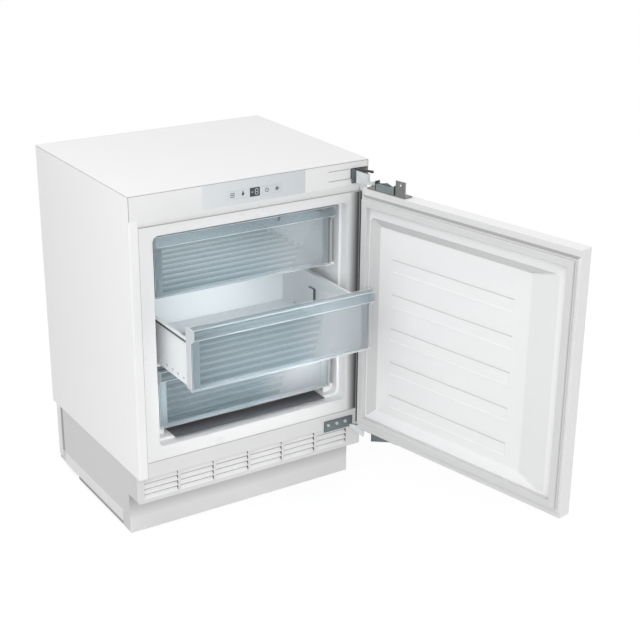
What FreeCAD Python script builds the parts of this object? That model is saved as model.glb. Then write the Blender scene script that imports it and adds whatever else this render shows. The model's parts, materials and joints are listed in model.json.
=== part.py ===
import FreeCAD, Part
import math
import os
import re
import Sketcher

# Undercounter freezer for building in: right-hung door, three drawers, vented base.
# Millimetres, +Z up, +Y to the rear. The origin is the middle of the plinth's lower edge, on the floor.
# The door stands open and the middle drawer is pulled out.

doc = FreeCAD.newDocument("undercounter_freezer")
sheet = doc.addObject("Spreadsheet::Sheet", "Dims")

# Driving dimensions in millimetres and degrees. Each is one cell of the sheet.
SIZES = {
    # Cabinet
    "cabinet_width": 596,
    "cabinet_height": 818,
    "cabinet_depth": 499,
    "skin_thickness": 1,
    "roof_thickness": 2,
    "side_bottom": 165,
    "side_flange": 21,
    "side_bend_radius": 3,
    "seam_gap": 0.6,
    # Front of the cabinet, from the top down
    "fascia_height": 70,
    "fascia_lip": 17,
    "fascia_lip_slope": 4,
    "fascia_wall": 3,
    "fascia_depth": 55,
    "fascia_end_gap": 1,
    "head_width": 23,
    "jamb_width": 32,
    "sill_width": 33,
    "lower_panel_height": 37,
    "lower_panel_thickness": 2,
    # Control panel
    "overlay_width": 256,
    "overlay_offset": 2,
    "overlay_thickness": 1.5,
    "display_width": 25,
    "display_height": 20,
    "control_height": 21,
    "key_width": 20,
    "key_height": 18,
    "key_flange": 2,
    "key_flange_thickness": 1.5,
    "key_inner_offset": 29.7,
    "key_outer_offset": 55.5,
    "key_travel": 0.6,
    "key_clearance": 0.3,
    "board_width": 170,
    "board_height": 38,
    "board_thickness": 1.6,
    "board_standoff": 9,
    # Liner and what it holds
    "liner_wall": 2,
    "tub_rear_gap": 22,
    "opening_corner": 14,
    "mouth_depth": 28,
    "mouth_step": 6,
    "pedestal_height": 22,
    "runner_thickness": 8,
    "runner_overlap": 8,
    "runner_rear_gap": 14.8,
    "running_gap": 0.3,
    "sensor_size": 14,
    "sensor_thickness": 5,
    "evaporator_width": 380,
    "evaporator_height": 340,
    "evaporator_tube": 4,
    "evaporator_spacing": 34,
    # Drawers
    "drawer_gap": 10,
    "drawer_side_gap": 18,
    "drawer_setback": 40,
    "drawer_pull": 164,
    "drawer_front_wall": 3,
    "handle_depth": 17,
    "handle_drop": 25,
    "handle_radius": 8,
    "handle_end_wall": 3,
    "handle_end_drop": 13,
    "front_return": 17,
    "front_return_lift": 3,
    "bead_width": 4,
    "bead_raise": 1.5,
    "tub_inset": 7,
    "tub_depth": 365,
    "tub_wall": 2.2,
    "tub_top_gap": 34,
    "tub_floor_lift": 2,
    "tub_rim_width": 8,
    "tub_rim_thickness": 2,
    "floor_rib_height": 2.2,
    "floor_rib_width": 12,
    "floor_rib_spacing": 32,
    "floor_rib_count": 9,
    "tub_frame_width": 16,
    "tub_frame_sill": 7,
    "tub_slot_length": 11,
    "tub_slot_height": 4,
    "tub_slot_spacing": 26,
    "tub_slot_lift": 9,
    "tub_stop_setback": 212,
    "tub_stop_length": 24,
    "tub_stop_lift": 48,
    "tub_stop_height": 30,
    "tub_stop_depth": 7,
    # Door
    "door_open_angle": 101.6,
    "door_side_gap": 1,
    "door_thickness": 36,
    "door_overlap": 18,
    "door_lift": 5,
    "door_cap_height": 14,
    "door_edge_radius": 6,
    "gasket_height": 13,
    "gasket_width": 19,
    "gasket_reach": 13,
    "gasket_drop": 12,
    "gasket_seat_gap": 0.3,
    "gasket_edge_gap": 1,
    "gasket_bulb": 4,
    "recess_depth": 12,
    "recess_margin": 2,
    "recess_head": 23,
    "recess_free_margin": 21,
    "recess_slope": 20,
    "recess_ramp": 75,
    "recess_corner": 14,
    "band_count": 5,
    "band_height": 28,
    "band_start": 58,
    "band_spacing": 83,
    "band_raise": 1.5,
    "band_inset": 41,
    # Hinges
    "hinge_inset": 11,
    "hinge_setback": 29,
    "hinge_pin_radius": 4,
    "hinge_pin_clearance": 0.05,
    "hinge_pin_depth": 11,
    "hinge_boss_radius": 7,
    "leaf_thickness": 3,
    "leaf_length": 114,
    "leaf_edge_gap": 4,
    "arm_thickness": 6,
    "web_thickness": 5,
    "web_height": 23,
    "lower_web_height": 22,
    "arm_root": 8,
    "hinge_gap": 1,
    "notch_height": 24,
    "notch_lift": 3,
    "notch_left": 108,
    "cover_gap": 1.2,
    "block_width": 14,
    "block_inset": 47,
    "knuckle_depth": 6,
    "face_gap": 1.5,
    "mount_plate_width": 84,
    "mount_plate_thickness": 4,
    "lower_plate_width": 79,
    "lower_plate_height": 27,
    "lower_plate_drop": 15,
    "tab_width": 28,
    "tab_height": 37,
    "tab_hole_radius": 3,
    "spring_unit_length": 58,
    "spring_unit_width": 13,
    "spring_unit_height": 20,
    "lower_bar_height": 20,
    "lower_bar_length": 61,
    "screw_head_radius": 4,
    "screw_head_height": 2.5,
    "screw_shank_radius": 2,
    # Base
    "toe_recess": 64,
    "plinth_thickness": 4,
    "plinth_height": 100,
    "base_inset": 2,
    "base_wall": 2,
    "base_depth": 478,
    "base_clearance": 14,
    "toe_clearance": 2,
    "fold_depth": 1.5,
    "fold_width": 22,
    "fold_lift": 12,
    "strip_height": 20,
    "strip_slope": 9,
    "strip_length": 336,
    "rear_lip_height": 70,
    "rail_width": 18,
    "rail_height": 10,
    "rail_length": 258,
    "rail_start": 104,
    "grille_recess": 10,
    "grille_thickness": 12,
    "grille_left": 13,
    "grille_right": 33,
    "grille_sill": 10,
    "grille_head": 1.5,
    "grille_bays": 6,
    "grille_slots": 4,
    "grille_post": 7,
    "louvre_depth": 9,
    "louvre_slit": 3,
    "louvre_edge": 1.5,
    # Feet and rollers
    "foot_inset": 56,
    "foot_setback": 40,
    "foot_radius": 18,
    "foot_height": 9,
    "stem_radius": 5,
    "stem_length": 46,
    "foot_clearance": 0.05,
    "roller_radius": 16,
    "roller_width": 14,
    "roller_inset": 26,
    "roller_setback": 405,
    "axle_radius": 4,
    "axle_clearance": 0.05,
    "fork_wall": 2,
    "fork_gap": 0.5,
    # Machine compartment
    "compressor_radius": 75,
    "compressor_height": 122,
    "compressor_across": 150,
    "compressor_setback": 380,
    "compressor_plate": 3,
    "mount_radius": 10,
    "mount_height": 12,
    "mount_spacing": 120,
    "terminal_width": 34,
    "terminal_height": 56,
    "condenser_width": 220,
    "condenser_across": -140,
    "condenser_setback": 170,
    "condenser_passes": 6,
    "condenser_spacing": 20,
    "tube_radius": 3,
    "shroud_thickness": 2,
    "shroud_height": 140,
    "fan_radius": 50,
    "fan_clearance": 4,
    "fan_blades": 5,
    "blade_thickness": 2,
    "blade_chord": 22,
    "blade_angle": 35,
    "hub_radius": 16,
    "hub_length": 20,
    "shaft_radius": 3,
    "motor_radius": 28,
    "motor_length": 36,
    "drier_radius": 9,
    "drier_length": 80,
    "gland_radius": 10,
    "gland_bore": 4,
}

# Places and fits that follow from the driving dimensions.
PLACES = {
    "half": "cabinet_width / 2",
    "front": "-(toe_recess + plinth_thickness / 2)",
    "rear": "front + cabinet_depth",
    "roof_under": "cabinet_height - roof_thickness",
    "fascia_bottom": "roof_under - fascia_height",
    "face_bottom": "fascia_bottom + fascia_lip",
    "fascia_half": "half - skin_thickness - fascia_end_gap",
    "seam_half": "flange_half - seam_gap",
    "fascia_back": "front + fascia_depth",
    "opening_top": "fascia_bottom - head_width",
    "panel_top": "side_bottom + lower_panel_height",
    "opening_bottom": "panel_top + sill_width",
    "flange_half": "half - side_flange",
    "opening_half": "flange_half - jamb_width",
    "control_z": "face_bottom + control_height",
    "overlay_back": "front + overlay_thickness",
    "face_back": "front + fascia_wall",
    "board_front": "face_back + board_standoff",
    "drawer_pitch": "(opening_top - opening_bottom - pedestal_height) / 3",
    "drawer_height": "drawer_pitch - drawer_gap",
    "drawer_half": "opening_half - drawer_side_gap",
    "tub_half": "drawer_half - tub_inset",
    "plate_front": "front + drawer_setback",
    "plate_back": "plate_front + drawer_front_wall",
    "tub_rear": "plate_back + tub_depth",
    "cavity_rear": "tub_rear + tub_rear_gap",
    "runner_half": "tub_half - runner_overlap",
    "door_half": "half - door_side_gap",
    "door_inner": "front - gasket_height",
    "door_outer": "door_inner - door_thickness",
    "door_top": "fascia_bottom + door_overlap",
    "door_bottom": "side_bottom + door_lift",
    "caps_bottom": "door_bottom + door_cap_height",
    "caps_top": "door_top - door_cap_height",
    "gasket_half": "flange_half + gasket_reach",
    "gasket_top": "fascia_bottom - gasket_edge_gap",
    "gasket_bottom": "panel_top - gasket_drop",
    "seal_half": "gasket_half - gasket_width",
    "seal_top": "gasket_top - gasket_width",
    "seal_bottom": "gasket_bottom + gasket_width",
    "recess_hinge": "seal_half - recess_margin",
    "recess_free": "seal_half - recess_free_margin",
    "recess_top": "seal_top - recess_head",
    "recess_bottom": "seal_bottom + recess_margin",
    "recess_floor": "door_inner - recess_depth",
    "hinge_x": "half - hinge_inset",
    "hinge_y": "door_inner - hinge_setback",
    "leaf_top": "door_top + leaf_thickness",
    "arm_bottom": "leaf_top + hinge_gap",
    "arm_top": "arm_bottom + arm_thickness",
    "notch_bottom": "arm_top + notch_lift",
    "notch_top": "notch_bottom + notch_height",
    "lower_leaf_bottom": "door_bottom - leaf_thickness",
    "lower_arm_top": "lower_leaf_bottom - hinge_gap",
    "lower_arm_bottom": "lower_arm_top - arm_thickness",
    "lower_plate_top": "panel_top - lower_plate_drop",
    "lower_plate_bottom": "lower_plate_top - lower_plate_height",
    "lower_plate_left": "block_right - lower_plate_width",
    "lower_plate_front": "front - mount_plate_thickness",
    "block_left": "half - block_inset",
    "block_right": "block_left + block_width",
    "base_half": "half - base_inset",
    "base_inner": "base_half - base_wall",
    "base_rear": "front + base_depth",
    "plinth_back": "plinth_thickness / 2",
    "pan_top": "base_clearance + base_wall",
    "grille_front": "front + grille_recess",
    "grille_back": "grille_front + grille_thickness",
    "foot_x": "half - foot_inset",
    "foot_y": "plinth_back + foot_setback",
    "roller_x": "half - roller_inset",
    "roller_y": "front + roller_setback",
    "fork_inner": "roller_x - roller_width / 2 - fork_gap",
    "fork_outer": "roller_x + roller_width / 2 + fork_gap",
    "compressor_y": "front + compressor_setback",
    "compressor_foot": "pan_top + mount_height",
    "compressor_base": "compressor_foot + compressor_plate",
    "shroud_front": "front + condenser_setback",
    "shroud_back": "shroud_front + shroud_thickness",
    "coil_y": "shroud_front - tube_radius",
    "coil_low": "pan_top + condenser_spacing",
    "fan_z": "pan_top + shroud_height / 2",
    "hub_front": "shroud_back + fan_clearance",
    "hub_back": "hub_front + hub_length",
    "motor_front": "hub_back + fan_clearance",
}

AXES = {
    "X": FreeCAD.Vector(1, 0, 0),
    "Y": FreeCAD.Vector(0, 1, 0),
    "Z": FreeCAD.Vector(0, 0, 1),
}
OPEN_DOOR = (
    "placement(vector(0; 0; 0); rotation(vector(0; 0; 1); door_open_angle);"
    " vector(hinge_x; hinge_y; 0))"
)
DRAWERS = ("bottom", "middle", "top")
PULLED_OUT = "middle"
FLOOR = "opening_bottom + mouth_step"
LEAST_VOLUME = 1e-3
EDGE_TOLERANCE = 1e-3
pieces = []

for row, (alias, value) in enumerate(SIZES.items(), start=1):
    sheet.set(f"A{row}", alias)
    sheet.set(f"B{row}", str(value))
    sheet.setAlias(f"B{row}", alias)
doc.recompute()


def bind(text):
    """Write a size in plain words as an expression on the sheet's cells."""

    def swap(match):
        word = match.group(0)
        if word in PLACES:
            return f"({bind(PLACES[word])})"
        return f"Dims.{word}" if word in SIZES else word

    return re.sub(r"[a-z]\w*", swap, str(text))


def number(text):
    """The present value of a size, in millimetres or degrees."""
    return float(sheet.evalExpression(bind(text)))


def count(alias):
    """A whole number from the sheet."""
    return int(round(number(alias)))


def tie(item, sizes):
    """Bind an object's properties to the sheet."""
    for name, text in sizes.items():
        item.setExpression(name, bind(text))
    return item


def box_sizes(x, y, z):
    """The bound sizes and corner of a box between low and high places on each axis."""
    sizes = {}
    for side, axis, (low, high) in zip(("Length", "Width", "Height"), "xyz", (x, y, z)):
        sizes[side] = f"({high}) - ({low})"
        sizes[f"Placement.Base.{axis}"] = low
    return sizes


def rod_sizes(radius, axis, at, low, high):
    """The bound sizes of a cylinder along an axis; at gives the other two places in X, Y, Z order."""
    others = [name for name in "XYZ" if name != axis]
    sizes = {"Radius": radius, "Height": f"({high}) - ({low})", f"Placement.Base.{axis.lower()}": low}
    for name, place in zip(others, at):
        sizes[f"Placement.Base.{name.lower()}"] = place
    return sizes


def aim(axis):
    """A placement that turns a cylinder's own Z to an axis."""
    return FreeCAD.Placement(FreeCAD.Vector(), FreeCAD.Rotation(AXES["Z"], AXES[axis]))


def loose_box(name, x, y, z):
    """A separate box for a group."""
    return tie(doc.addObject("Part::Box", name), box_sizes(x, y, z))


def loose_rod(name, radius, axis, at, low, high):
    """A separate cylinder for a group."""
    item = doc.addObject("Part::Cylinder", name)
    item.Placement = aim(axis)
    return tie(item, rod_sizes(radius, axis, at, low, high))


def group(label, solids):
    """A node of several separate solids."""
    item = doc.addObject("Part::Compound", label)
    item.Label = label
    item.Links = solids
    pieces.append(item)
    return item


def joined(name, solids):
    """Several touching solids made one."""
    item = doc.addObject("Part::MultiFuse", name)
    item.Shapes = solids
    return item


def shaped(label, shape):
    """A node whose shape is worked out in code from the sheet."""
    item = doc.addObject("Part::Feature", label)
    item.Label = label
    item.Shape = shape
    pieces.append(item)
    return item


class Piece:
    """One sub-part: a body that gains and loses material feature by feature."""

    def __init__(self, label):
        self.body = doc.addObject("PartDesign::Body", label)
        self.body.Label = label
        pieces.append(self.body)

    def add(self, kind, name):
        return self.body.newObject(kind, f"{self.body.Name}_{name}")

    def block(self, x, y, z, cut=False):
        """Add or cut a box between low and high places on each axis."""
        kind = "PartDesign::SubtractiveBox" if cut else "PartDesign::AdditiveBox"
        return tie(self.add(kind, "block"), box_sizes(x, y, z))

    def rod(self, radius, axis, at, low, high, cut=False):
        """Add or cut a cylinder along an axis."""
        kind = "PartDesign::SubtractiveCylinder" if cut else "PartDesign::AdditiveCylinder"
        item = self.add(kind, "rod")
        item.Placement = aim(axis)
        return tie(item, rod_sizes(radius, axis, at, low, high))

    def plane(self, role):
        return next(item for item in self.body.Origin.OriginFeatures if item.Role == role)

    def sketch(self, role, outlines, offset):
        """Closed outlines on an origin plane, each corner held at its two bound places."""
        item = self.add("Sketcher::SketchObject", "outline")
        item.AttachmentSupport = [(self.plane(role), "")]
        item.MapMode = "FlatFace"
        for axis, place in offset.items():
            item.setExpression(f"AttachmentOffset.Base.{axis}", bind(place))
        held = []
        places = {}
        for outline in outlines:
            first = item.GeometryCount
            corners = [FreeCAD.Vector(number(a), number(b), 0) for a, b in outline]
            for begin, finish in zip(corners, corners[1:] + corners[:1]):
                item.addGeometry(Part.LineSegment(begin, finish), False)
            for step, corner in enumerate(outline):
                after = first + (step + 1) % len(outline)
                held.append(Sketcher.Constraint("Coincident", first + step, 2, after, 1))
                for kind, place in zip(("DistanceX", "DistanceY"), corner):
                    places[len(held)] = place
                    held.append(Sketcher.Constraint(kind, -1, 1, first + step, 1, number(place)))
        item.addConstraint(held)
        for index, place in places.items():
            item.setExpression(f"Constraints[{index}]", bind(place))
        return item

    def extrude(self, axis, outlines, low, high, cut=False):
        """Add or cut outlines drawn across an axis, between two places along it."""
        role = {"X": "YZ_Plane", "Y": "XZ_Plane", "Z": "XY_Plane"}[axis]
        # The plane across Y faces the front, so there the far side is the lower place.
        near, far = (f"-({high})", f"-({low})") if axis == "Y" else (low, high)
        base = self.sketch(role, outlines, {"z": far if cut else near})
        item = self.add("PartDesign::Pocket" if cut else "PartDesign::Pad", "extrusion")
        item.Profile = base
        return tie(item, {"Length": f"({high}) - ({low})"})

    def turn(self, axis, outline, centre):
        """Add a turned form; the outline is (radius, height) round Z or Y, (length, radius) round X."""
        role = "XZ_Plane" if axis == "Z" else "XY_Plane"
        base = self.sketch(role, [outline], centre)
        item = self.add("PartDesign::Revolution", "turning")
        item.Profile = base
        item.ReferenceAxis = (base, ["H_Axis" if axis == "X" else "V_Axis"])
        return item

    def loft(self, outlines, places, cut=False):
        """Add or cut a straight loft between outlines drawn across Y."""
        kind = "PartDesign::SubtractiveLoft" if cut else "PartDesign::AdditiveLoft"
        layers = [self.sketch("XZ_Plane", [o], {"z": f"-({p})"}) for o, p in zip(outlines, places)]
        item = self.add(kind, "loft")
        item.Profile = layers[0]
        item.Sections = layers[1:]
        item.Ruled = True
        return item

    def repeat(self, feature, axis, pitch, times):
        """Repeat a feature along an axis."""
        item = self.add("PartDesign::LinearPattern", "row")
        item.Originals = [feature]
        item.Direction = (self.plane(f"{axis}_Axis"), [""])
        tie(item, {"Occurrences": times, "Length": f"({pitch}) * ({times} - 1)"})
        self.body.Tip = item
        return item

    def ease(self, radius, chosen):
        """Round the tip's edges for which the choice holds."""
        doc.recompute()
        tip = self.body.Tip
        names = [f"Edge{index}" for index, edge in enumerate(tip.Shape.Edges, start=1) if chosen(edge)]
        item = self.add("PartDesign::Fillet", "rounding")
        item.Base = (tip, names)
        return tie(item, {"Radius": radius})

    def round(self, radius, axis, **places):
        """Round the edges along an axis that lie at the given places."""
        wanted = {name: [number(p) for p in values] for name, values in places.items()}
        return self.ease(radius, lambda edge: lies_at(edge, axis, wanted))

    def swing(self):
        """Stand the piece on the open door."""
        self.body.setExpression("Placement", bind(OPEN_DOOR))

    def pull(self):
        """Move the piece out with the pulled drawer."""
        self.body.setExpression("Placement.Base.y", bind("-drawer_pull"))


def lies_at(edge, axis, wanted):
    """Whether a straight edge runs along an axis at one of the places on each named axis."""
    if edge.Curve.TypeId != "Part::GeomLine":
        return False
    if abs(abs(edge.Curve.Direction.dot(AXES[axis])) - 1) > EDGE_TOLERANCE:
        return False
    middle = edge.CenterOfMass
    return all(
        any(abs(getattr(middle, name) - place) < EDGE_TOLERANCE for place in values)
        for name, values in wanted.items()
    )


def between(middle, width):
    """Low and high places of a width about a middle."""
    return f"{middle} - ({width}) / 2", f"{middle} + ({width}) / 2"


def rectangle(x, z):
    """The four corners of an upright rectangle."""
    return [(x[0], z[0]), (x[1], z[0]), (x[1], z[1]), (x[0], z[1])]


def sided(side, low, high):
    """Low and high places on the left or right of the middle, from places on the right."""
    return (low, high) if side == "right" else (f"-({high})", f"-({low})")


def tube(points, radius, bend):
    """A tube along straight runs joined by equal bends."""
    path = []
    start = points[0]
    for corner, after in zip(points[1:-1], points[2:]):
        inward = (corner - start).normalize()
        outward = (after - corner).normalize()
        half_turn = inward.getAngle(outward) / 2
        setback = bend * math.tan(half_turn)
        first = corner - inward * setback
        last = corner + outward * setback
        bisector = (outward - inward).normalize()
        middle = corner + bisector * (bend / math.cos(half_turn) - bend)
        path.append(Part.LineSegment(start, first).toShape())
        path.append(Part.Arc(first, middle, last).toShape())
        start = last
    path.append(Part.LineSegment(start, points[-1]).toShape())
    section = Part.Wire(Part.Circle(points[0], points[1] - points[0], radius).toShape())
    return Part.Wire(path).makePipeShell([section], True, True)


def point(x, y, z):
    """A point whose places are written in words."""
    return FreeCAD.Vector(number(x), number(y), number(z))


# Cabinet: outer skins


def side_panel(side):
    """Steel side with a rounded front flange."""
    panel = Piece(f"side_panel_{side}")
    wall = sided(side, "half - skin_thickness", "half")
    outer, inner = (wall[1], wall[0]) if side == "right" else wall
    along = ("front", "rear - skin_thickness")
    panel.block(wall, along, ("side_bottom", "face_bottom"))
    panel.block(
        sided(side, "flange_half", "half"), ("front", "front + skin_thickness"),
        ("side_bottom", "face_bottom"),
    )
    panel.round("side_bend_radius", "Z", x=[inner], y=["front + skin_thickness"])
    panel.round("side_bend_radius + skin_thickness", "Z", x=[outer], y=["front"])
    panel.block(wall, along, ("face_bottom", "roof_under - seam_gap"))


def outer_skins():
    """Top, back and bottom sheets and the crossmember that carries the upper hinge."""
    top = Piece("top_panel")
    top.block(("-half", "half"), ("front", "rear"), ("roof_under", "cabinet_height"))
    inside = ("-(half - skin_thickness)", "half - skin_thickness")
    back = Piece("back_panel")
    back.block(inside, ("rear - skin_thickness", "rear"), ("side_bottom", "roof_under"))
    bottom = Piece("cabinet_bottom")
    bottom.block(
        inside, ("front + skin_thickness + side_bend_radius", "rear - skin_thickness"),
        ("side_bottom", "side_bottom + skin_thickness"),
    )
    beam = Piece("upper_crossmember")
    beam.block(
        inside, ("fascia_back", "fascia_back + skin_thickness * 2"), ("fascia_bottom", "roof_under")
    )


def liner_sections(wall):
    """The liner's mouth and the slightly narrower body behind it, grown outwards by a wall."""
    sections = []
    for step, depth in (("0", "front + mouth_depth"), ("mouth_step", "cavity_rear")):
        reach = f"opening_half - {step} + {wall}"
        height = (f"opening_bottom + {step} - {wall}", f"opening_top - {step} + {wall}")
        sections.append(((f"-({reach})", reach), ("front", f"{depth} + {wall}"), height))
    return sections


def inner_liner():
    """Moulded liner: an open box with a flange round its mouth."""
    liner = Piece("inner_liner")
    liner.block(
        ("-seam_half", "seam_half"), ("front", "front + liner_wall"),
        ("panel_top + seam_gap", "fascia_bottom - seam_gap"),
    )
    for section in liner_sections("liner_wall"):
        liner.block(*section)
    for section in liner_sections("0"):
        liner.block(*section, True)
    for x, y, z in liner_sections("0"):
        liner.round("opening_corner", "Y", x=x, z=z)
    for x, y, z in liner_sections("liner_wall"):
        liner.round("opening_corner + liner_wall", "Y", x=x, z=z)


def insulation():
    """Foam that fills the space between the liner and the skins, with room for the evaporator."""
    foam = Piece("cabinet_insulation")
    inside = ("-(half - skin_thickness)", "half - skin_thickness")
    liner_back = "cavity_rear + liner_wall"
    foam.block(
        inside, ("front + liner_wall", "rear - skin_thickness"),
        ("side_bottom + skin_thickness", "roof_under"),
    )
    foam.round("side_bend_radius", "Z", x=inside, y=["front + liner_wall"])
    foam.block(
        ("-half", "half"), ("front", "fascia_back + skin_thickness * 2"),
        ("fascia_bottom", "roof_under"), True,
    )
    for section in liner_sections("liner_wall"):
        foam.block(*section, True)
    for x, y, z in liner_sections("liner_wall"):
        foam.round("opening_corner + liner_wall", "Y", x=x, z=z)
    foam.block(
        between("0", "evaporator_width + evaporator_spacing * 2"),
        (liner_back, f"{liner_back} + evaporator_tube * 2 + running_gap"),
        between("(opening_top + opening_bottom) / 2", "evaporator_height + evaporator_spacing * 2"), True,
    )


def serpentine(width, y, low, pitch, passes, middle="0"):
    """Corner points of a tube that runs to and fro across a width and climbs at each end."""
    points = []
    for index in range(passes):
        height = f"{low} + {index} * ({pitch})"
        ends = [f"{middle} - ({width}) / 2", f"{middle} + ({width}) / 2"]
        if index % 2:
            ends.reverse()
        points += [point(end, y, height) for end in ends]
    return points


def evaporator():
    """Cooling tube on the back of the liner."""
    climbs = round(number("evaporator_height / evaporator_spacing"))
    low = f"(opening_top + opening_bottom - {climbs} * evaporator_spacing) / 2"
    points = serpentine(
        "evaporator_width", "cavity_rear + liner_wall + evaporator_tube", low, "evaporator_spacing",
        climbs + 1,
    )
    shaped("evaporator", tube(points, number("evaporator_tube"), number("evaporator_spacing / 2.2")))


def temperature_sensor():
    """Air sensor on the liner's right wall."""
    sensor = Piece("temperature_sensor")
    wall = "opening_half - mouth_step"
    sensor.block(
        (f"{wall} - sensor_thickness", wall), between("cavity_rear - sensor_size * 2", "sensor_size"),
        between("opening_top - sensor_size * 2", "sensor_size"),
    )


def drawer_base(index):
    """Height of a drawer's front above the floor."""
    return f"opening_bottom + pedestal_height + {index} * drawer_pitch"


def drawer_runners():
    """Ledges on the liner's walls that the tubs slide on; the lowest pair stands on the floor."""
    solids = []
    wall = "opening_half - mouth_step"
    along = ("plate_back + tub_wall", "cavity_rear - runner_rear_gap")
    for index, name in enumerate(DRAWERS):
        top = f"{drawer_base(index)} + tub_floor_lift - running_gap"
        low = FLOOR if index == 0 else f"{top} - runner_thickness"
        for side in ("left", "right"):
            ledge = loose_box(f"runner_{name}_{side}", sided(side, "runner_half", wall), along, (low, top))
            solids.append(eased_foot(ledge, wall) if index == 0 else ledge)
    group("drawer_runners", solids)


def eased_foot(ledge, wall):
    """Round a ledge where it stands in the liner's rounded corner."""
    doc.recompute()
    radius = number("opening_corner")
    wanted = {"x": [number(wall), -number(wall)], "z": [number(FLOOR)]}
    eased = doc.addObject("Part::Fillet", f"{ledge.Name}_eased")
    eased.Base = ledge
    eased.Edges = [
        (index, radius, radius)
        for index, edge in enumerate(ledge.Shape.Edges, start=1)
        if lies_at(edge, "Y", wanted)
    ]
    return eased


def drawer(index, name):
    """White tub and clear front."""
    parts = [drawer_front(drawer_base(index), name), drawer_tub(drawer_base(index), name)]
    if name == PULLED_OUT:
        for part in parts:
            part.pull()


def drawer_front(base, name):
    """Clear front with a hooked handle lip, end walls that turn back past the tub, and a bead."""
    top = f"{base} + drawer_height"
    lip = "plate_front - handle_depth"
    lip_back = f"{lip} + drawer_front_wall"
    grip = f"{top} - handle_drop"
    front = Piece(f"drawer_front_{name}")
    front.extrude(
        "X",
        [[
            ("plate_front", base), ("plate_back", base), ("plate_back", top), (lip, top), (lip, grip),
            (lip_back, grip), (lip_back, f"{top} - drawer_front_wall"),
            ("plate_front", f"{top} - drawer_front_wall"),
        ]],
        "-drawer_half", "drawer_half",
    )
    ends = [
        (lip, grip), ("plate_front", f"{grip} - handle_end_drop"), ("plate_front", top), (lip, top),
    ]
    for side in ("left", "right"):
        front.extrude("X", [ends], *sided(side, "drawer_half - handle_end_wall", "drawer_half"))
        front.block(
            sided(side, "drawer_half - bead_width", "drawer_half"),
            ("plate_front - bead_raise", "plate_front"), (base, grip),
        )
        front.block(
            sided(side, "drawer_half - handle_end_wall", "drawer_half"),
            ("plate_back", "plate_back + front_return"), (f"{base} + front_return_lift", top),
        )
    front.block(
        ("-drawer_half", "drawer_half"), ("plate_front - bead_raise", "plate_front"),
        (base, f"{base} + bead_width"),
    )
    front.round(
        "handle_radius - drawer_front_wall", "X", y=[lip_back], z=[f"{top} - drawer_front_wall"]
    )
    front.round("handle_radius", "X", y=[lip], z=[top])
    return front


def drawer_tub(base, name):
    """White tub, open at the front behind the clear plate, with a ribbed floor."""
    floor = f"{base} + tub_floor_lift"
    rim = f"{base} + drawer_height - tub_top_gap"
    inside = ("-(tub_half - tub_wall)", "tub_half - tub_wall")
    tub = Piece(f"drawer_tub_{name}")
    tub.block(("-tub_half", "tub_half"), ("plate_back", "tub_rear"), (floor, rim))
    tub.block(
        inside, ("plate_back + tub_wall", "tub_rear - tub_wall"), (f"{floor} + tub_wall", rim), True
    )
    tub.block(
        ("-(tub_half - tub_frame_width)", "tub_half - tub_frame_width"),
        ("plate_back", "plate_back + tub_wall"), (f"{floor} + tub_frame_sill", rim), True,
    )
    first = "plate_back + tub_wall + floor_rib_spacing / 2"
    rib = tub.block(
        inside, (first, f"{first} + floor_rib_width"),
        (f"{floor} + tub_wall", f"{floor} + tub_wall + floor_rib_height"),
    )
    tub.repeat(rib, "Y", "floor_rib_spacing", "floor_rib_count")
    first = "plate_back + tub_frame_width"
    slot = tub.block(
        ("-tub_half", "tub_half"), (first, f"{first} + tub_slot_length"),
        (f"{floor} + tub_slot_lift", f"{floor} + tub_slot_lift + tub_slot_height"), True,
    )
    tub.repeat(slot, "Y", "tub_slot_spacing", "floor((tub_depth - tub_frame_width * 2) / tub_slot_spacing)")
    stop = "plate_back + tub_stop_setback"
    for side in ("left", "right"):
        tub.block(
            sided(side, "tub_half", "tub_half + tub_rim_width"),
            ("plate_back + front_return + running_gap * 2", "tub_rear"), (f"{rim} - tub_rim_thickness", rim),
        )
        tub.block(
            sided(side, "tub_half - tub_wall - tub_stop_depth", "tub_half - tub_wall"),
            (stop, f"{stop} + tub_stop_length"),
            (f"{base} + tub_stop_lift", f"{base} + tub_stop_lift + tub_stop_height"),
        )
    return tub


# Control panel


GLAND = ("-compressor_across", "(pan_top + rear_lip_height) / 2")
KEYS = {
    "key_outer_left": "overlay_offset - key_outer_offset",
    "key_inner_left": "overlay_offset - key_inner_offset",
    "key_inner_right": "overlay_offset + key_inner_offset",
    "key_outer_right": "overlay_offset + key_outer_offset",
}


def fascia():
    """Panel across the top of the front, with a sloped lip below and a notch for the upper hinge."""
    panel = Piece("fascia")
    slope = "front + fascia_lip_slope"
    panel.extrude(
        "X",
        [[
            ("front", "roof_under"), ("front", "face_bottom"), (slope, "fascia_bottom"),
            ("fascia_back", "fascia_bottom"), ("fascia_back", "fascia_bottom + fascia_wall"),
            (f"{slope} + fascia_wall", "fascia_bottom + fascia_wall"),
            ("face_back", "face_bottom + fascia_wall"), ("face_back", "roof_under"),
        ]],
        "-flange_half", "flange_half",
    )
    for side in ("left", "right"):
        panel.block(
            sided(side, "flange_half", "fascia_half"), ("front", "face_back"), ("face_bottom", "roof_under")
        )
    panel.block(
        ("half - notch_left", "half"), ("front", "face_back"), ("notch_bottom", "notch_top"), True
    )
    panel.block(
        between("overlay_offset", "overlay_width"), ("front", "overlay_back"),
        ("face_bottom", "roof_under"), True,
    )
    control_holes(panel)
    cover = Piece("hinge_cover")
    cover.block(
        ("half - notch_left", "block_left - fascia_end_gap"), ("front", "face_back"),
        ("notch_bottom + cover_gap", "notch_top - cover_gap"),
    )


def control_holes(piece):
    """Cut the display's and the keys' holes through a panel."""
    piece.block(
        between("overlay_offset", "display_width"), ("front", "face_back"),
        between("control_z", "display_height"), True,
    )
    for middle in KEYS.values():
        piece.block(
            between(middle, "key_width + key_clearance * 2"), ("front", "face_back"),
            between("control_z", "key_height + key_clearance * 2"), True,
        )


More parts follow.
